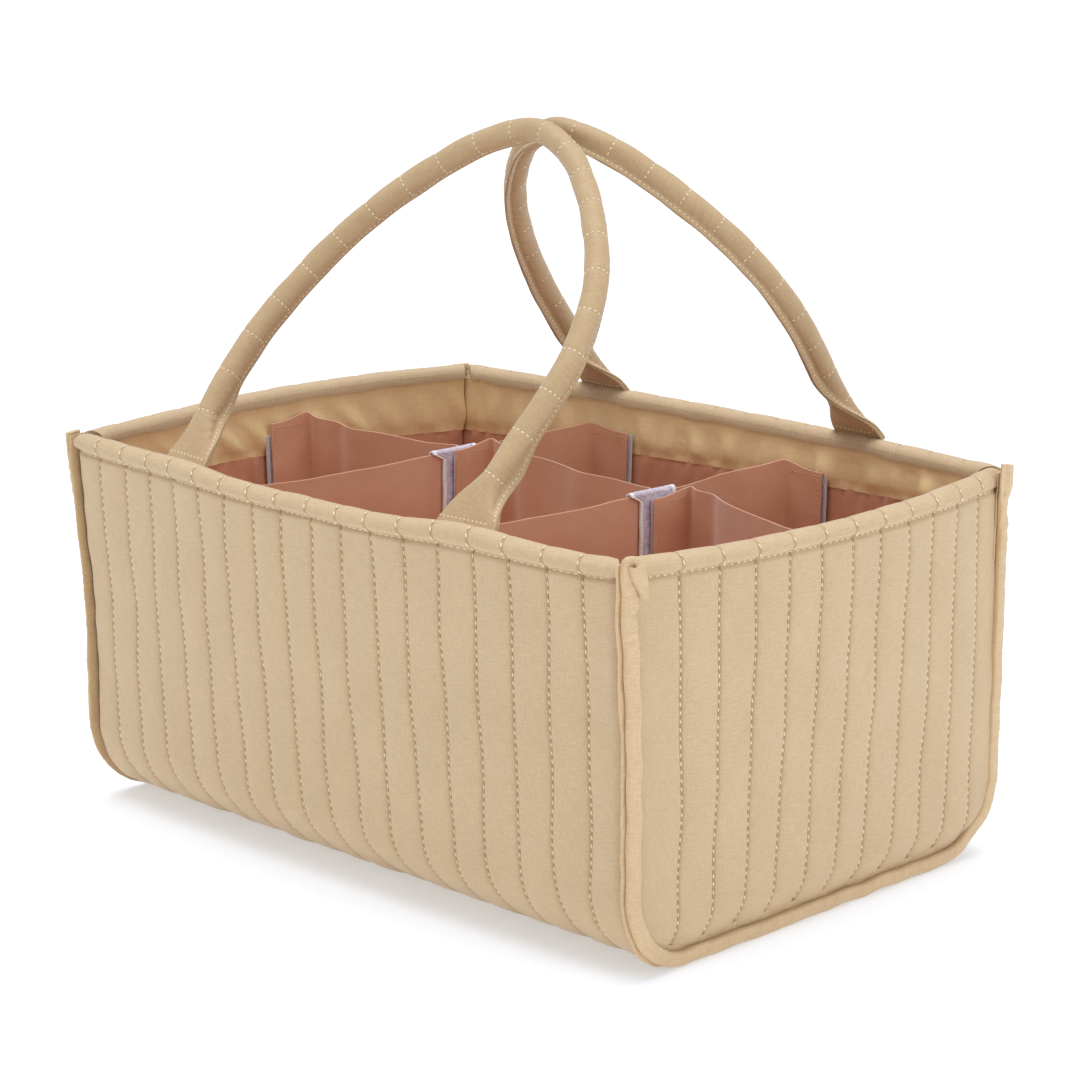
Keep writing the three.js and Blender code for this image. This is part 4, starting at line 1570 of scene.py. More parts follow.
    def build_foam(self, side: Side) -> None:
        """The foam panel inside one wall."""
        reach = self.foam_reaches[0 if side.is_long else 1]
        columns = np.linspace(-reach, reach, 28)
        rows = np.linspace(*self.foam_heights, 12)
        panel = grid(f"foam_{side.value}_pad", columns, rows, self.foam_surface(side))
        thicken(panel, self.foam_thickness)
        dress(panel, self.shell.finishes.foam, "shell", (f"foam_{side.value}",))

    def build_facing(self, side: Side) -> None:
        """The plain band under the hem of one wall."""
        reach = self.reach(side)
        columns = np.linspace(-reach, reach, int(reach * 2.0 / 0.0016))
        rows = np.linspace(self.seam - 0.0006, self.hem_foot, 22)
        band = grid(f"facing_{side.value}_cloth", columns, rows, self.facing_surface(side))
        thicken(band, self.lining_thickness)
        dress(band, self.shell.finishes.facing, "shell", (f"facing_{side.value}",))

    def sew_seam(self) -> None:
        """Stitches just under the facing's seam."""
        finishes = self.shell.finishes
        line = Stitching(
            "lining_seam_stitches", finishes.gold, "shell", "lining", length=0.0013, width=0.0004
        )
        for side in Side:
            reach = self.reach(side) - 0.008
            wall = self.shell.walls[side]
            s = np.linspace(-reach, reach, 400)
            z = np.full_like(s, self.seam - self.seam_stitch_drop)
            depth = self.lining_depth + self.lining_fold(side, s, z) + self.lining_thickness / 2.0
            z = z + self.slope(side, s)
            points = wall.point(s, depth, z)
            normals = unit(wall.point(s, depth + 0.001, z) - points)
            line.lay(points, normals)
        line.finish()

    def face(self, side: Side) -> Place:
        """The lining's face on one wall, for what is taped to it."""
        wall = self.shell.walls[side]
        return lambda s, out, z: wall.point(s, self.face_depth + out, z)


@dataclass
class Taping:
    """Hook-and-loop tapes between two pieces."""

    finishes: Finishes
    loop_out: float = 0.0009
    loop_thickness: float = 0.0010
    loop_draw: float = 0.0063
    hook_out: float = 0.0023
    hook_thickness: float = 0.0009
    hook_width: float = 0.0215
    wall_loop_width: float = WALL_LOOP_WIDTH
    low: float = 0.049
    wall_loop_top: float = 0.1537
    wall_loop_length: float = 0.1047
    hook_top: float = 0.1645
    hook_length: float = 0.1155
    fold_radius: float = 0.0017
    fold_height: float = 0.1668
    loop_foot: float = 0.0168
    loop_bow: Waves = Waves(0.00025, 0.05, 0.02)
    draw_fade: Pair = (0.0020, 0.0008)

    def strip(
        self,
        name: str,
        face: Place,
        span: Pair,
        heights: Pair,
        out: float,
        thickness: float,
    ) -> Object:
        """A flat tape on a face."""
        columns = np.linspace(span[0], span[1], 14)
        rows = np.linspace(heights[0], heights[1], 48)
        tape = grid(name, columns, rows, lambda s, z: face(s, np.full_like(s, out), z))
        thicken(tape, thickness)
        return tape

    def wall_loop(self, name: str, face: Place, middle: float) -> None:
        """Loop tape on a wall, behind a tab."""
        half = self.wall_loop_width / 2.0
        span = (middle - half, middle + half)
        heights = (self.low, self.wall_loop_top)
        tape = self.strip(f"{name}_tape", face, span, heights, self.loop_out, self.loop_thickness)
        dress(tape, self.finishes.wall_loop, "shell", (name,))

    def hook(self, name: str, face: Place, fold: float, way: int, divider: "Divider", shows: float) -> None:
        """Hook tape on the back of a tab, showing a little past the tab's free edge where it may."""
        outer = fold + way * (divider.tab + shows)
        inner = outer - way * self.hook_width
        span = (min(outer, inner), max(outer, inner))
        heights = (self.low, self.hook_top)
        tape = self.strip(f"{name}_tape", face, span, heights, self.hook_out, self.hook_thickness)
        dress(tape, self.finishes.hook, divider.body, (name,))

    def folded_loop(self, name: str, divider: "Divider", middle: float, width: float) -> None:
        """Loop tape over both sides of a cross divider, folded over its top edge."""
        radius, crest = self.fold_radius, self.fold_height
        side_length = crest - self.loop_foot
        arc = math.pi * radius
        across = np.linspace(middle - width / 2.0, middle + width / 2.0, 24)
        along = np.concatenate(
            [
                np.linspace(0.0, side_length, 60)[:-1],
                np.linspace(side_length, side_length + arc, 9)[:-1],
                np.linspace(side_length + arc, 2.0 * side_length + arc, 60),
            ]
        )

        def surface(y: Array, t: Array) -> Array:
            """Points by the place along the divider and the distance up one side and down the other."""
            turn = np.clip((t - side_length) / radius, 0.0, math.pi)
            z = crest + radius * np.sin(turn)
            z = z - np.maximum(side_length - t, 0.0) - np.maximum(t - side_length - arc, 0.0)
            inner = 1.0 - (y - across[0]) / width
            below, above = self.draw_fade
            y = y + self.loop_draw * inner * fade(z, crest - below, crest + above)
            bow = self.loop_bow.at(y, t, 401) * (np.sin(turn) < 0.01)
            middle_line = divider.across(y, np.minimum(z, crest))
            middle_line[:, 0] += -(radius + bow) * np.cos(turn)
            middle_line[:, 2] = z
            return middle_line

        tape = grid(f"{name}_tape", across, along, surface)
        thicken(tape, self.loop_thickness)
        dress(tape, self.finishes.loop, divider.body, (name,))


@dataclass
class Divider:
    """A smooth cloth divider whose ends fold into tabs."""

    name: str
    finishes: Finishes
    ends: tuple[Place, Place]
    folds: Pair
    way: int
    seed: int
    belly: float = 0.002
    near_fold: Pair = (0.002, 0.0)
    rise: Pair = (0.0, 0.0)
    thickness: float = 0.0008
    tab: float = 0.025
    tab_out: float = 0.0041
    top: float = 0.168
    foot: float = 0.0108
    tab_foot: float = 0.046
    turn: float = 0.0040
    turn_radius: float = 0.0292
    tab_wave: Waves = Waves(0.0003, 0.05, 0.045)
    tab_start: Pair = (0.004, 0.012)
    wide_swell: Waves = Waves(0.0012, 0.060, 0.28)
    small_swell: Waves = Waves(0.00030, 0.024, 0.12)
    far_lobe: Pair = (0.019, 0.0065)
    near_lobe: Pair = (0.0075, 0.0050)
    lobe_start: float = 0.004
    face_out: float = 0.0013
    tab_slope: Pair = (-0.001, 0.005)
    crest: float = 0.0004
    crest_reach: float = 0.008
    drop: float = 0.0026
    drop_zone: Pair = (-0.022, 0.003)
    middle_sag: float = 0.0010
    top_wave: Waves = Waves(0.0002, 0.05, 1.0)
    rise_reach: float = 0.035
    column_pitch: float = 0.0022
    bevel: float = 0.0003
    edge_margin: float = 0.0027
    bar: Pair = (0.0065, 0.0012)
    bar_drops: Pair = (0.0040, 0.0046)
    hem_drop: float = 0.0024

    def __post_init__(self) -> None:
        """Measures the panel between the two folds."""
        level = np.array([0.1])
        out = np.array([self.tab_out])
        first = self.ends[0](np.array([self.folds[0]]), out, level)
        last = self.ends[1](np.array([self.folds[1]]), out, level)
        self.length = float(np.linalg.norm(last - first))
        self.body = f"{self.name}_body"

    @property
    def whole(self) -> float:
        """Length of the strip with both tabs."""
        return self.length + 2.0 * self.tab

    def tab_place(self, end: int, from_fold: Array, z: Array) -> Array:
        """Points of a tab, by the distance from its fold."""
        s = self.folds[end] + self.way * from_fold
        lift = self.tab_wave.at(from_fold, z, self.seed + 5 + end) * step(from_fold, *self.tab_start)
        return self.ends[end](s, self.tab_out + np.abs(lift), z)

    def panel_place(self, run: Array, z: Array) -> Array:
        """Points of the panel, by the distance from its first fold."""
        zero = np.zeros_like(run)
        first = self.tab_place(0, zero, z)
        last = self.tab_place(1, zero, z)
        share = run / self.length
        line = last - first
        normal = unit(np.stack([-line[:, 1], line[:, 0], zero], axis=1))
        free = np.clip(np.sin(math.pi * np.clip(share, 0.0, 1.0)), 0.0, 1.0)
        up = np.clip(z / self.top, 0.0, 1.0)
        from_end = np.minimum(run, self.length - run)
        swell = self.belly * free * (0.6 + 0.4 * up)
        swell = swell + self.wide_swell.at(run, z, self.seed) * free**0.6
        swell = swell + self.small_swell.at(run, z, self.seed + 1) * free

        def lobe(away: Array, place: float, reach: float) -> Array:
            """A soft swell of height 1 at some distance from an end."""
            return bell(away - place, reach)

        for end, depth in enumerate(self.near_fold):
            away = run if end == 0 else self.length - run
            lobes = lobe(away, *self.far_lobe) - lobe(away, *self.near_lobe)
            swell = swell + depth * lobes * step(from_end, 0.0, self.lobe_start)
        return first + line * share[:, None] + normal * swell[:, None]

    def centre(self, u: Array, z: Array) -> Array:
        """Points of the strip's middle layer, by the distance along it and the height."""
        left, right = self.tab, self.tab + self.length
        on_panel = self.panel_place(np.clip(u - left, self.turn, self.length - self.turn), z)
        on_first = self.tab_place(0, np.maximum(left - u, self.turn), z)
        on_last = self.tab_place(1, np.maximum(u - right, self.turn), z)
        zero = np.zeros_like(u)
        first = u < self.whole / 2.0
        corner = np.where(first[:, None], self.tab_place(0, zero, z), self.tab_place(1, zero, z))
        flat = np.where(first[:, None], on_first, on_last)
        past = np.where(first, u - left, right - u)
        w = np.clip((past + self.turn) / (2.0 * self.turn), 0.0, 1.0)[:, None]
        bend = flat * (1.0 - w) ** 2 + corner * 2.0 * w * (1.0 - w) + on_panel * w**2
        inner = (past >= self.turn)[:, None]
        outer = (past <= -self.turn)[:, None]
        return np.where(inner, on_panel, np.where(outer, flat, bend))

    def across(self, y: Array, z: Array) -> Array:
        """Points of a cross divider's middle layer, by the place along Y."""
        zero = np.zeros_like(y)
        first = self.tab_place(0, zero, z)[:, 1]
        last = self.tab_place(1, zero, z)[:, 1]
        return self.panel_place((y - first) / (last - first) * self.length, z)

    def side(self, way: int) -> Place:
        """One face of a cross divider, for what is taped to it."""

        def place(s: Array, out: Array, z: Array) -> Array:
            """Points by the place along the divider, the distance out from it and the height."""
            s, out, z = np.broadcast_arrays(np.asarray(s, float), out, z)
            points = self.across(s, z)
            points[:, 0] += way * (self.face_out + out)
            return points

        return place

    def heights(self, u: Array) -> tuple[Array, Array]:
        """Lowest and highest places of the strip."""
        past = np.minimum(u - self.tab, self.tab + self.length - u)
        y = self.centre(u, np.full_like(u, 0.03))[:, 1]
        reach = np.clip(np.abs(y) - FLAT_HALF, 0.0, self.turn_radius)
        under = np.maximum(TURN_RADIUS - np.sqrt(self.turn_radius**2 - reach**2), self.foot)
        low = self.tab_foot + (under - self.tab_foot) * step(past, *self.tab_slope)
        share = np.clip(past / self.length, 0.0, 1.0)
        crest = self.crest * bell(past, self.crest_reach)
        drop = self.drop * fade(past, *self.drop_zone)
        sag = self.middle_sag * np.sin(math.pi * share)
        waver = self.top_wave.at(u, u * 0.0, self.seed + 3)
        first = self.rise[0] * np.exp(-np.maximum(u - self.tab, 0.0) / self.rise_reach)
        last = self.rise[1] * np.exp(-np.maximum(self.tab + self.length - u, 0.0) / self.rise_reach)
        return low, self.top + crest - drop - sag + waver + first + last

    def surface(self, u: Array, v: Array) -> Array:
        """Points of the strip, by the distance along it and the share of its height."""
        low, high = self.heights(u)
        z = low + (high - low) * v
        return self.centre(u, z)

    def build(self) -> None:
        """Models the strip and its topstitching."""
        left, right = self.tab, self.tab + self.length
        parts = [
            np.linspace(0.0, left - self.turn, 12)[:-1],
            np.linspace(left - self.turn, left + self.turn, 13)[:-1],
            np.linspace(left + self.turn, right - self.turn, int(self.length / self.column_pitch))[:-1],
            np.linspace(right - self.turn, right + self.turn, 13)[:-1],
            np.linspace(right + self.turn, self.whole, 12),
        ]
        columns, rows = np.concatenate(parts), np.linspace(0.0, 1.0, 60)
        strip = grid(f"{self.name}_cloth", columns, rows, self.surface, (1.0, self.top - self.foot))
        thicken(strip, self.thickness)
        sharp = math.radians(60.0)
        apply(strip, "BEVEL", width=self.bevel, segments=2, limit_method="ANGLE", angle_limit=sharp)
        smooth(strip, 50.0)
        dress(strip, self.finishes.divider, self.body, (self.name,))
        self.whole
        self.top - self.foot
        self.sew()

    def sew(self) -> None:
        """Gold topstitching along both tabs' free edges, with a short bar at the top."""
        line = Stitching(f"{self.name}_stitches", self.finishes.gold, self.body, "lining", width=0.0006)
        for end in (0, 1):
            top = self.top + self.rise[end] - self.drop
            z = np.linspace(self.tab_foot + 0.002, top - 0.0045, 300)
            self.lay_on_tab(line, end, np.full_like(z, self.tab - self.edge_margin), z)
            inner, outer = self.bar
            across = np.linspace(self.tab - inner, self.tab - outer, 20)
            for drop in self.bar_drops:
                self.lay_on_tab(line, end, across, np.full_like(across, top - drop))
            hem = np.linspace(0.004, self.tab - 0.0010, 60)
            self.lay_on_tab(line, end, hem, np.full_like(hem, top - self.hem_drop))
        line.finish()

    def lay_on_tab(self, line: Stitching, end: int, from_fold: Array, z: Array) -> None:
        """Adds stitches on the outer face of a tab."""
        s = self.folds[end] + self.way * from_fold
        out = np.full_like(s, self.tab_out + self.thickness / 2.0 + 0.0002)
        points = self.ends[end](s, out, z)
        normals = unit(self.ends[end](s, out + 0.001, z) - points)
        line.lay(points, normals)


class Dividers:
    """The five dividers and their tapes.

    Attributes:
        loop_middle: Place across the caddy of the loop tape over a cross divider.
        loop_width: Its width.
        tape_middle: From a cross divider's fold to the middle of the wall tape behind its tab.
        shows: How far a hook tape shows past its tab, by where the tab lies.
    """

    loop_middle = 0.0244
    loop_width = LOOP_WIDTH
    tape_middle = 0.0125
    shows = {"cross": 0.0015, "wall": 0.0020, "divider": -0.0008}

    def __init__(self, finishes: Finishes, inside: Interior) -> None:
        """Places the dividers between the walls and each other."""
        front, rear = inside.face(Side.FRONT), inside.face(Side.REAR)
        left, right = inside.face(Side.LEFT), inside.face(Side.RIGHT)
        self.inside = inside
        self.taping = Taping(finishes)
        self.crosses = {
            "left": Divider(
                "cross_divider_left", finishes, (front, rear), (-0.080, -0.080),
                way=1, seed=500, belly=0.0012, rise=(0.0035, 0.0),
            ),
            "right": Divider(
                "cross_divider_right", finishes, (front, rear), (0.050, 0.050),
                way=1, seed=520, belly=-0.0010, rise=(0.0030, 0.0),
            ),
        }
        near, far = self.crosses["left"], self.crosses["right"]
        self.longs = {
            "left": Divider(
                "long_divider_left", finishes, (left, near.side(-1)), (0.0165, 0.035),
                way=-1, seed=540, belly=-0.0030, near_fold=(0.0028, 0.0), rise=(0.0054, -0.0012),
            ),
            "middle": Divider(
                "long_divider_middle", finishes, (near.side(1), far.side(-1)), (0.046, 0.032),
                way=-1, seed=560, belly=-0.0028, near_fold=(0.0014, 0.0), rise=(0.0032, -0.0012),
            ),
            "right": Divider(
                "long_divider_right", finishes, (far.side(1), right), (0.046, 0.004),
                way=-1, seed=580, belly=-0.0022, near_fold=(0.0018, 0.001),
            ),
        }

    def build(self) -> None:
        """Models every divider, then every tape."""
        for divider in (*self.crosses.values(), *self.longs.values()):
            divider.build()
        taping = self.taping
        for name, cross in self.crosses.items():
            taping.folded_loop(f"cross_loop_{name}", cross, self.loop_middle, self.loop_width)
            middle = cross.folds[0] + self.tape_middle
            for end, wall in enumerate(("front", "rear")):
                face, fold = cross.ends[end], cross.folds[end]
                taping.hook(f"cross_hook_{name}_{wall}", face, fold, 1, cross, self.shows["cross"])
                taping.wall_loop(f"wall_loop_{wall}_{name}", face, middle)
        for name, long in self.longs.items():
            for end, at in enumerate(("left", "right")):
                shows = self.shows["wall" if at == name else "divider"]
                taping.hook(f"long_hook_{name}_{at}", long.ends[end], long.folds[end], -1, long, shows)
        taping.wall_loop("wall_loop_left", self.inside.face(Side.LEFT), 0.0040)
        taping.wall_loop("wall_loop_right", self.inside.face(Side.RIGHT), -0.0085)


# Handles


@dataclass(frozen=True)
class Arch:
    """The line of one handle in its leaning plane, and how its feet spread."""

    middle: float
    span: float
    sway: float
    shares: tuple[float, ...]
    hinge_y: float
    foot_half_widths: Pair
    rises: tuple[float, ...] = (
        0.0, 0.06, 0.155, 0.31, 0.39, 0.464, 0.541, 0.619, 0.696, 0.773, 0.825, 0.876, 0.928, 0.964,
    )
    rise: float = 0.194
    sway_rise: float = 0.125
    tip: float = 0.0072
    hinge_z: float = 0.1863

    @property
    def lean(self) -> float:
        """Angle from upright."""
        return math.asin((self.hinge_y - self.tip) / self.rise)

    def knots(self) -> Array:
        """Points that the line runs through: along X from the feet's middle, and up the lean."""
        rise = np.array([*self.rises, 1.0, *reversed(self.rises)]) * self.rise
        half = np.array(self.shares) * self.span / 2.0
        x = np.concatenate([-half, [0.0], half[::-1]])
        return np.stack([x + self.sway * step(rise, 0.0, self.sway_rise), rise], axis=1)

    def fine(self) -> Array:
        """Fine points of the smooth line through the knots."""
        knots = self.knots()
        knots = np.concatenate([[2.0 * knots[0] - knots[1]], knots, [2.0 * knots[-1] - knots[-2]]])
        spaces = np.sqrt(np.linalg.norm(np.diff(knots, axis=0), axis=1))
        w = np.linspace(0.0, 1.0, 40, endpoint=False)[:, None]
        fine = []
        for k in range(1, len(knots) - 2):
            before, here, after = spaces[k - 1 : k + 2]
            p0, p1, p2, p3 = knots[k - 1 : k + 3]
            leave = ((p1 - p0) / before - (p2 - p0) / (before + here)) * here + p2 - p1
            arrive = ((p3 - p2) / after - (p3 - p1) / (here + after)) * here + p2 - p1
            cubic = (2.0 * p1 - 2.0 * p2 + leave + arrive) * w**3
            square = (-3.0 * p1 + 3.0 * p2 - 2.0 * leave - arrive) * w**2
            fine.append(cubic + square + leave * w + p1)
        return np.concatenate([*fine, [knots[-2]]])


FRONT_ARCH = Arch(
    -0.0055, 0.187, 0.012,
    (1.0, 1.0, 1.035, 1.05, 1.045, 1.019, 0.973, 0.91, 0.818, 0.7, 0.605, 0.498, 0.37, 0.245),
    0.1317, (0.0138, 0.0170),
)
REAR_ARCH = Arch(
    0.0025, 0.1686, 0.0072,
    (1.0, 1.0, 1.0, 1.004, 1.002, 0.98, 0.944, 0.885, 0.805, 0.697, 0.605, 0.5, 0.375, 0.25),
    0.1324, (0.0150, 0.0140),
)


FLANGE_OUTLINE = (
    (0.0, 0.80), (0.022, 0.95), (0.055, 1.0), (0.085, 0.97), (0.100, 0.86), (0.112, 0.62),
    (0.125, 0.36), (0.150, 0.14), (0.190, 0.03),
)


@dataclass
class Handle:
    """A padded cloth tube with a sewn flange under it, flattened into a foot at each end."""

    shell: Shell
    side: Side
    arch: Arch
    radius: float = 0.0055
    flange: float = 0.0031
    flange_spread: float = 0.35
    foot_half_thickness: float = 0.0014
    foot_length: float = 0.028
    foot_drop: float = 0.0010
    foot_sink: float = 0.0044
    foot_inset: float = 0.0080
    sewn_height: float = 0.180
    row_pitch: float = 0.020
    bare_end: float = 0.025
    round_start: float = 0.002
    twist_start: float = 0.006
    twist_length: float = 0.048
    squareness: float = 0.45
    spread_fade: Pair = (0.035, 0.120)
    shift_fade: float = 0.060
    pucker: Waves = Waves(0.00034, 0.0034, 0.03)
    pucker_slant: float = 0.0022
    pucker_reach: float = 1.05
    pucker_start: Pair = (0.12, 0.40)
    patches: Waves = Waves(0.4, 0.045, 1.0)
    pinch: float = 0.00026
    pinch_width: float = 0.0012
    softness: Waves = Waves(0.00016, 0.024, 0.012)
    stitched_feet: float = 0.0042
    flange_seam: float = 0.118

    def __post_init__(self) -> None:
        """Works out the handle's leaning plane and the line along its middle."""
        way = self.side.sign
        lean = self.arch.lean
        self.up = np.array([0.0, -way * math.sin(lean), math.cos(lean)])
        self.under = np.array([0.0, -way * math.cos(lean), -math.sin(lean)])
        wall = self.shell.walls[self.side]
        sewn_at = np.array(self.sewn_height)
        rim = float(wall.face(np.array(self.arch.span / 2.0), sewn_at)) - self.foot_inset
        self.foot_shift = way * (rim - self.arch.hinge_y)
        flat = self.arch.fine()
        foot = np.array([self.arch.middle, way * self.arch.hinge_y, self.arch.hinge_z])
        self.points = foot + flat[:, :1] * np.array([1.0, 0.0, 0.0]) + flat[:, 1:] * self.up
        self.runs = np.concatenate([[0.0], np.cumsum(np.linalg.norm(np.diff(self.points, axis=0), axis=1))])
        self.length = float(self.runs[-1])
        self.ring_place, self.ring_angle, self.ring_extra = self.ring()

    def ring(self) -> tuple[Array, Array, Array]:
        """Places round the section, their angles from the flange, and how far each stands out."""
        bare = np.linspace(FLANGE_OUTLINE[-1][0], math.pi, 30)[1:]
        half = [*FLANGE_OUTLINE, *[(angle, 0.0) for angle in bare]]
        whole = [*half, *[(2.0 * math.pi - angle, extra) for angle, extra in reversed(half[:-1])]]
        angle = np.array([a for a, _ in whole])
        extra = np.array([e for _, e in whole]) * self.flange
        across = (self.radius + extra) * np.sin(angle)
        down = (self.radius + extra) * np.cos(angle)
        place = np.concatenate([[0.0], np.cumsum(np.hypot(np.diff(across), np.diff(down)))])
        return place, angle, extra

    def rows(self) -> Array:
        """Places of the stitched rows along the handle."""
        count = round((self.length - 2.0 * self.bare_end) / self.row_pitch)
        return np.linspace(self.bare_end, self.length - self.bare_end, count + 1)

    def middle(self, run: Array) -> Array:
        """Points of the handle's middle line, straight on past its ends."""
        points = np.stack([np.interp(run, self.runs, self.points[:, k]) for k in range(3)], axis=1)
        past = np.minimum(run, 0.0) - np.maximum(run - self.length, 0.0)
        return points + past[:, None] * self.up

    def skin(self, angle: Array, extra: Array, run: Array) -> Array:
        """Points of the cloth, by the angle from the flange and the distance along the handle."""
        along = unit(self.middle(run + 0.002) - self.middle(run - 0.002))
        across = np.cross(self.under[None, :], along)
        to_end = np.maximum(np.minimum(run, self.length - run), 0.0)
        round_share = step(to_end, self.round_start, self.foot_length)
        twist = fade(to_end, self.twist_start, self.twist_length)
        first = run < self.length / 2.0
        half = np.where(first, 1.0, -1.0) * -self.side.sign
        turned = angle + half * (math.pi / 2.0) * twist
        foot_width = np.where(first, self.arch.foot_half_widths[0], self.arch.foot_half_widths[1])
        down_half = self.foot_half_thickness + (self.radius - self.foot_half_thickness) * round_share
        wide_half = foot_width + (self.radius - foot_width) * step(to_end, 0.0, self.foot_length)
        square = self.squareness + (1.0 - self.squareness) * round_share

        def contour(a: Array) -> Array:
            """Places down and across the bare section, by the angle round it."""
            c, s = np.cos(a), np.sin(a)
            return np.stack([down_half * np.sign(c) * np.abs(c) ** square, wide_half * s], axis=1)

        place = contour(turned)
        tangent = contour(turned + 0.02) - contour(turned - 0.02)
        normal = unit(np.stack([tangent[:, 1], -tangent[:, 0]], axis=1))
        swell = self.relief(angle, run, round_share)
        spread = 1.0 + self.flange_spread * fade(to_end, *self.spread_fade)
        place = place + normal * (extra * spread * (0.5 + 0.5 * round_share) + swell)[:, None]
        points = self.middle(run) + self.under * place[:, :1] + across * place[:, 1:]
        at_foot = fade(to_end, 0.0, self.shift_fade)
        points[:, 1] += self.foot_shift * at_foot
        points[:, 0] -= self.foot_shift * at_foot
        points[:, 2] -= self.foot_sink * at_foot
        return points

    def relief(self, angle: Array, run: Array, round_share: Array) -> Array:
        """How far the cloth stands out: puckers by the flange, pinches at the rows, unevenness."""
        from_flange = np.minimum(angle, 2.0 * math.pi - angle)
        seed = 600 + self.side.sign
        slanted = run + self.pucker_slant * from_flange
        pucker = self.pucker.at(slanted, angle * 0.002, seed)
        near_flange = bell(from_flange, self.pucker_reach)
        pucker = pucker * near_flange * step(from_flange, *self.pucker_start)
        patchy = 0.6 + self.patches.at(run, run * 0.0, seed + 2)
        rows = self.rows()
        nearest = np.min(np.abs(run[:, None] - rows[None, :]), axis=1)
        pinch = -self.pinch * bell(nearest, self.pinch_width) * (from_flange > 0.15)
        soft = self.softness.at(run, angle * 0.005, seed + 1)
        return (pucker * patchy + soft) * (0.3 + 0.7 * round_share) + pinch

    def build(self) -> None:
        """Models the cloth tube and its stitching."""
        name = f"{self.side.value}_handle"
        rows = np.linspace(-self.foot_drop, self.length + self.foot_drop, 760)

        def surface(a: Array, run: Array) -> Array:
            """Points by the place round the section and the distance along the handle."""
            angle = np.interp(a, self.ring_place, self.ring_angle)
            extra = np.interp(a, self.ring_place, self.ring_extra)
            return self.skin(angle, extra, run)

        tube = grid(f"{name}_cover", self.ring_place, rows, surface)
        close_up(tube)
        smooth(tube, 60.0)
        dress(tube, self.shell.finishes.handle, name, (f"{name}_cloth",))
        self.sew(name)

    def sew(self, name: str) -> None:
        """Stitches round the tube, along the flange and across the feet."""
        thread = Stitching(
            f"{name}_stitches", self.shell.finishes.cream, name, "quilt", 0.0017, 0.0025, 0.0008, -0.0001
        )
        angles = np.linspace(0.30, 2.0 * math.pi - 0.30, 90)
        for row in (*self.rows(), self.stitched_feet, self.length - self.stitched_feet):
            self.lay(thread, angles, np.zeros_like(angles), np.full_like(angles, row))
        run = np.linspace(0.004, self.length - 0.004, 1600)
        for angle in (self.flange_seam, 2.0 * math.pi - self.flange_seam):
            self.lay(thread, np.full_like(run, angle), np.full_like(run, 0.45 * self.flange), run)
        thread.finish()

    def lay(self, thread: Stitching, angle: Array, extra: Array, run: Array) -> None:
        """Adds a line of stitches on the cloth."""
        points = self.skin(angle, extra, run)
        round_way = self.skin(angle + 0.01, extra, run) - self.skin(angle - 0.01, extra, run)
        long_way = self.skin(angle, extra, run + 0.0003) - self.skin(angle, extra, run - 0.0003)
        normals = unit(np.cross(round_way, long_way))
        outward = np.sum(normals * (points - self.middle(run)), axis=1, keepdims=True)
        thread.lay(points, normals * np.where(outward < 0.0, -1.0, 1.0))


# The camera and the studio


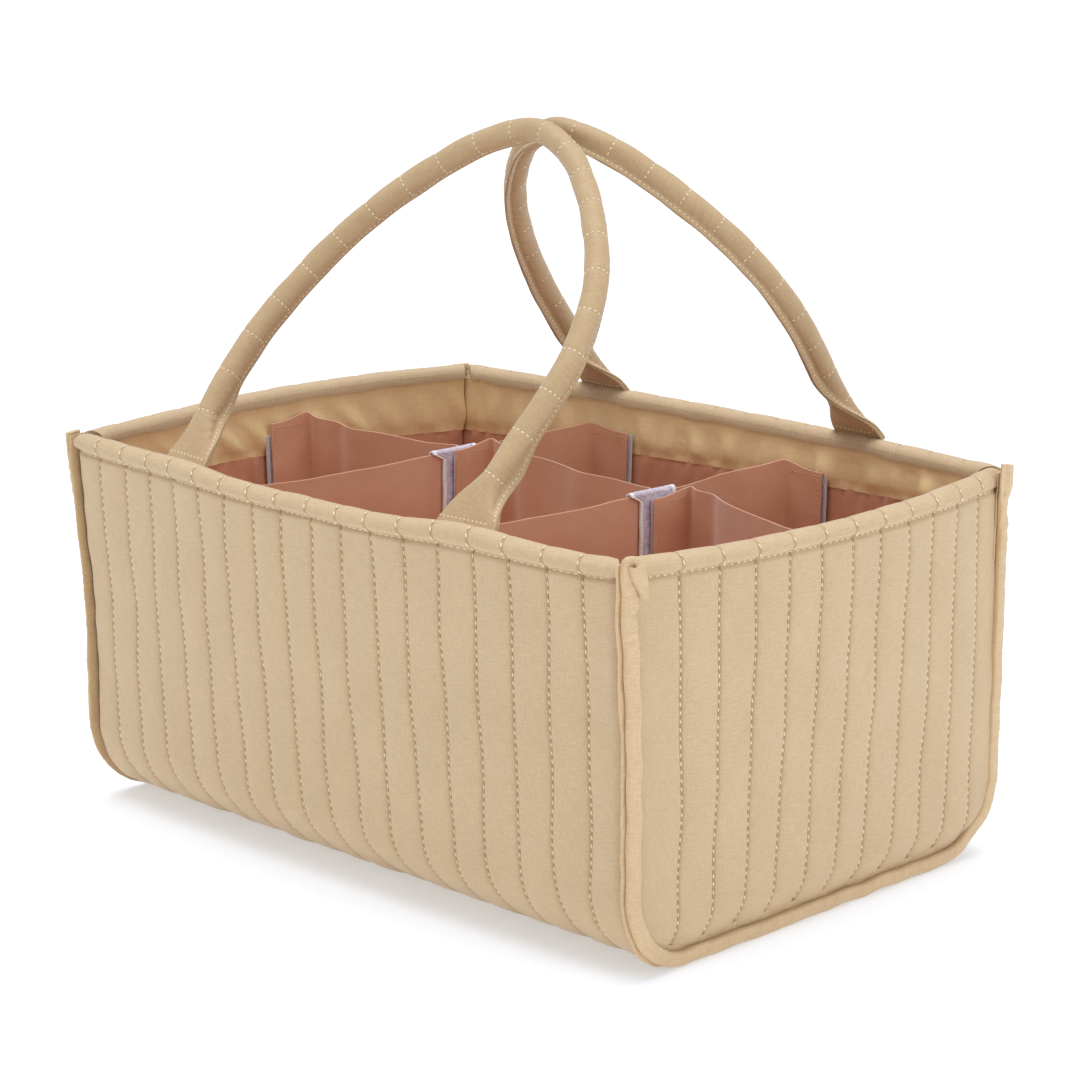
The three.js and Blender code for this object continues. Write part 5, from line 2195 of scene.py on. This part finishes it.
@dataclass(frozen=True)
class Studio:
    """Pale floor, soft lamps and the camera."""

    camera_place: tuple[float, float, float] = (1.0298, -1.0303, 0.4926)
    camera_azimuth: float = 44.896
    camera_elevation: float = 13.615
    lens: float = 105.33
    sensor: float = 36.0
    floor_size: float = 30.0
    floor_height: float = -0.0004
    floor_grey: float = 0.86
    floor_glow: float = 0.24
    shadow_colour: tuple[float, float, float] = (0.70, 0.75, 0.84)
    shadow_lift: float = 0.39
    surroundings: float = 0.41
    aim_height: float = 0.1

    def add_camera(self) -> None:
        """Sets the camera where the photograph was taken from."""
        azimuth = math.radians(self.camera_azimuth)
        elevation = math.radians(self.camera_elevation)
        level = math.cos(elevation)
        back = Vector((math.sin(azimuth) * level, -math.cos(azimuth) * level, math.sin(elevation)))
        data = bpy.data.cameras.new("camera")
        data.lens = self.lens
        data.sensor_width = self.sensor
        data.clip_start = 0.01
        data.clip_end = 50.0
        camera = bpy.data.objects.new("camera", data)
        camera.rotation_mode = "QUATERNION"
        camera.location = self.camera_place
        camera.rotation_quaternion = (-back).to_track_quat("-Z", "Y")
        bpy.context.scene.collection.objects.link(camera)
        bpy.context.scene.camera = camera

    def add_floor(self) -> None:
        """A wide pale floor that shows white to the camera and keeps the caddy's shadow."""
        deselect()
        bpy.ops.mesh.primitive_plane_add(size=self.floor_size, location=(0.0, 0.0, self.floor_height))
        floor = bpy.context.object
        floor.name = "studio_floor"
        g = Graph("pale_floor")
        white = (1.0, 1.0, 1.0)
        bounce = g.add("ShaderNodeBsdfDiffuse", None, {"Color": (self.floor_grey,) * 3})
        glow = g.add("ShaderNodeEmission", None, {"Color": white, "Strength": self.floor_glow})
        diffuse = g.add("ShaderNodeAddShader", None, {0: bounce, 1: glow})
        shaded = g.add("ShaderNodeBsdfDiffuse", None, {"Color": self.shadow_colour})
        lift = g.add("ShaderNodeEmission", None, {"Color": white, "Strength": self.shadow_lift})
        bright = g.add("ShaderNodeAddShader", None, {0: shaded, 1: lift})
        path = g.tree.nodes.new("ShaderNodeLightPath")
        seen = Sock(g, path.outputs["Is Camera Ray"])
        glossy = Sock(g, path.outputs["Is Glossy Ray"])
        through = Sock(g, path.outputs["Is Transmission Ray"])
        either = seen.math("MAXIMUM", seen, seen.math("MAXIMUM", glossy, through))
        mixed = g.add("ShaderNodeMixShader", None, {0: either, 1: diffuse, 2: bright})
        g.tree.links.new(mixed.socket, g.tree.nodes["Material Output"].inputs["Surface"])
        g.tree.nodes.remove(g.shader)
        floor.data.materials.append(g.material)

    def add_world(self) -> None:
        """Even white surroundings."""
        world = bpy.data.worlds.new("studio")
        bpy.context.scene.world = world
        world.use_nodes = True
        nodes, links = world.node_tree.nodes, world.node_tree.links
        background = nodes["Background"]
        background.inputs["Color"].default_value = (1.0, 1.0, 1.0, 1.0)
        path = nodes.new("ShaderNodeLightPath")
        either = nodes.new("ShaderNodeMath")
        either.operation = "MAXIMUM"
        links.new(path.outputs["Is Camera Ray"], either.inputs[0])
        links.new(path.outputs["Is Transmission Ray"], either.inputs[1])
        strength = nodes.new("ShaderNodeMapRange")
        links.new(either.outputs[0], strength.inputs["Value"])
        strength.inputs["To Min"].default_value = self.surroundings
        strength.inputs["To Max"].default_value = 1.0
        links.new(strength.outputs[0], background.inputs["Strength"])

    def add_lamp(self, name: str, place: tuple[float, float, float], size: float, power: float) -> None:
        """A square soft lamp that faces the caddy."""
        data = bpy.data.lights.new(name, "AREA")
        data.shape = "SQUARE"
        data.size = size
        data.energy = power
        lamp = bpy.data.objects.new(name, data)
        lamp.location = place
        aim = Vector((0.0, 0.0, self.aim_height)) - Vector(place)
        lamp.rotation_mode = "QUATERNION"
        lamp.rotation_quaternion = aim.to_track_quat("-Z", "Y")
        bpy.context.scene.collection.objects.link(lamp)

    def add_sun(self, place: tuple[float, float, float], strength: float, degrees: float) -> None:
        """A far, soft lamp that lights the whole floor evenly.

        Args:
            place: A point in the lamp's direction.
            strength: Of its light.
            degrees: How wide it looks from the caddy.
        """
        data = bpy.data.lights.new("sky_lamp", "SUN")
        data.energy = strength
        data.angle = math.radians(degrees)
        lamp = bpy.data.objects.new("sky_lamp", data)
        lamp.location = place
        lamp.rotation_mode = "QUATERNION"
        lamp.rotation_quaternion = (-Vector(place)).to_track_quat("-Z", "Y")
        bpy.context.scene.collection.objects.link(lamp)

    def build(self) -> None:
        """Floor, surroundings and lamps."""
        scene = bpy.context.scene
        scene.view_settings.view_transform = "Standard"
        self.add_floor()
        self.add_world()
        self.add_lamp("key_lamp", (2.2, 0.2, 1.05), size=1.2, power=9.5)
        self.add_lamp("front_lamp", (-0.3, -2.2, 0.35), size=1.4, power=4.0)
        self.add_sun((-0.18, 0.04, 1.6), strength=2.3, degrees=60.0)


def carry_over(finishes: Finishes) -> None:
    """Gives the frame's own hidden parts their finish."""
    for name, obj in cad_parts.items():
        material = finishes.board if name == "base_board" else finishes.foam
        obj.data.materials.clear()
        obj.data.materials.append(material)


def main() -> None:
    """Builds the caddy piece by piece."""
    logging.basicConfig(level=logging.INFO, format="%(name)s: %(message)s")
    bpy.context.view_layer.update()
    studio = Studio()
    studio.add_camera()
    finishes = Finishes()
    carry_over(finishes)
    shell = Shell(finishes)
    shell.build_wrap()
    shell.build_end(Side.LEFT)
    shell.build_end(Side.RIGHT)
    shell.sew_channels()
    BoundSeam(shell, Side.LEFT).build()
    BoundSeam(shell, Side.RIGHT, front_shift=-0.0016, rear_shift=0.0056).build()
    inside = Interior(shell)
    inside.build()
    Dividers(finishes, inside).build()
    Handle(shell, Side.FRONT, FRONT_ARCH).build()
    Handle(shell, Side.REAR, REAR_ARCH, foot_sink=0.0014, foot_inset=0.0034).build()
    studio.build()


if __name__ == "__main__":
    main()
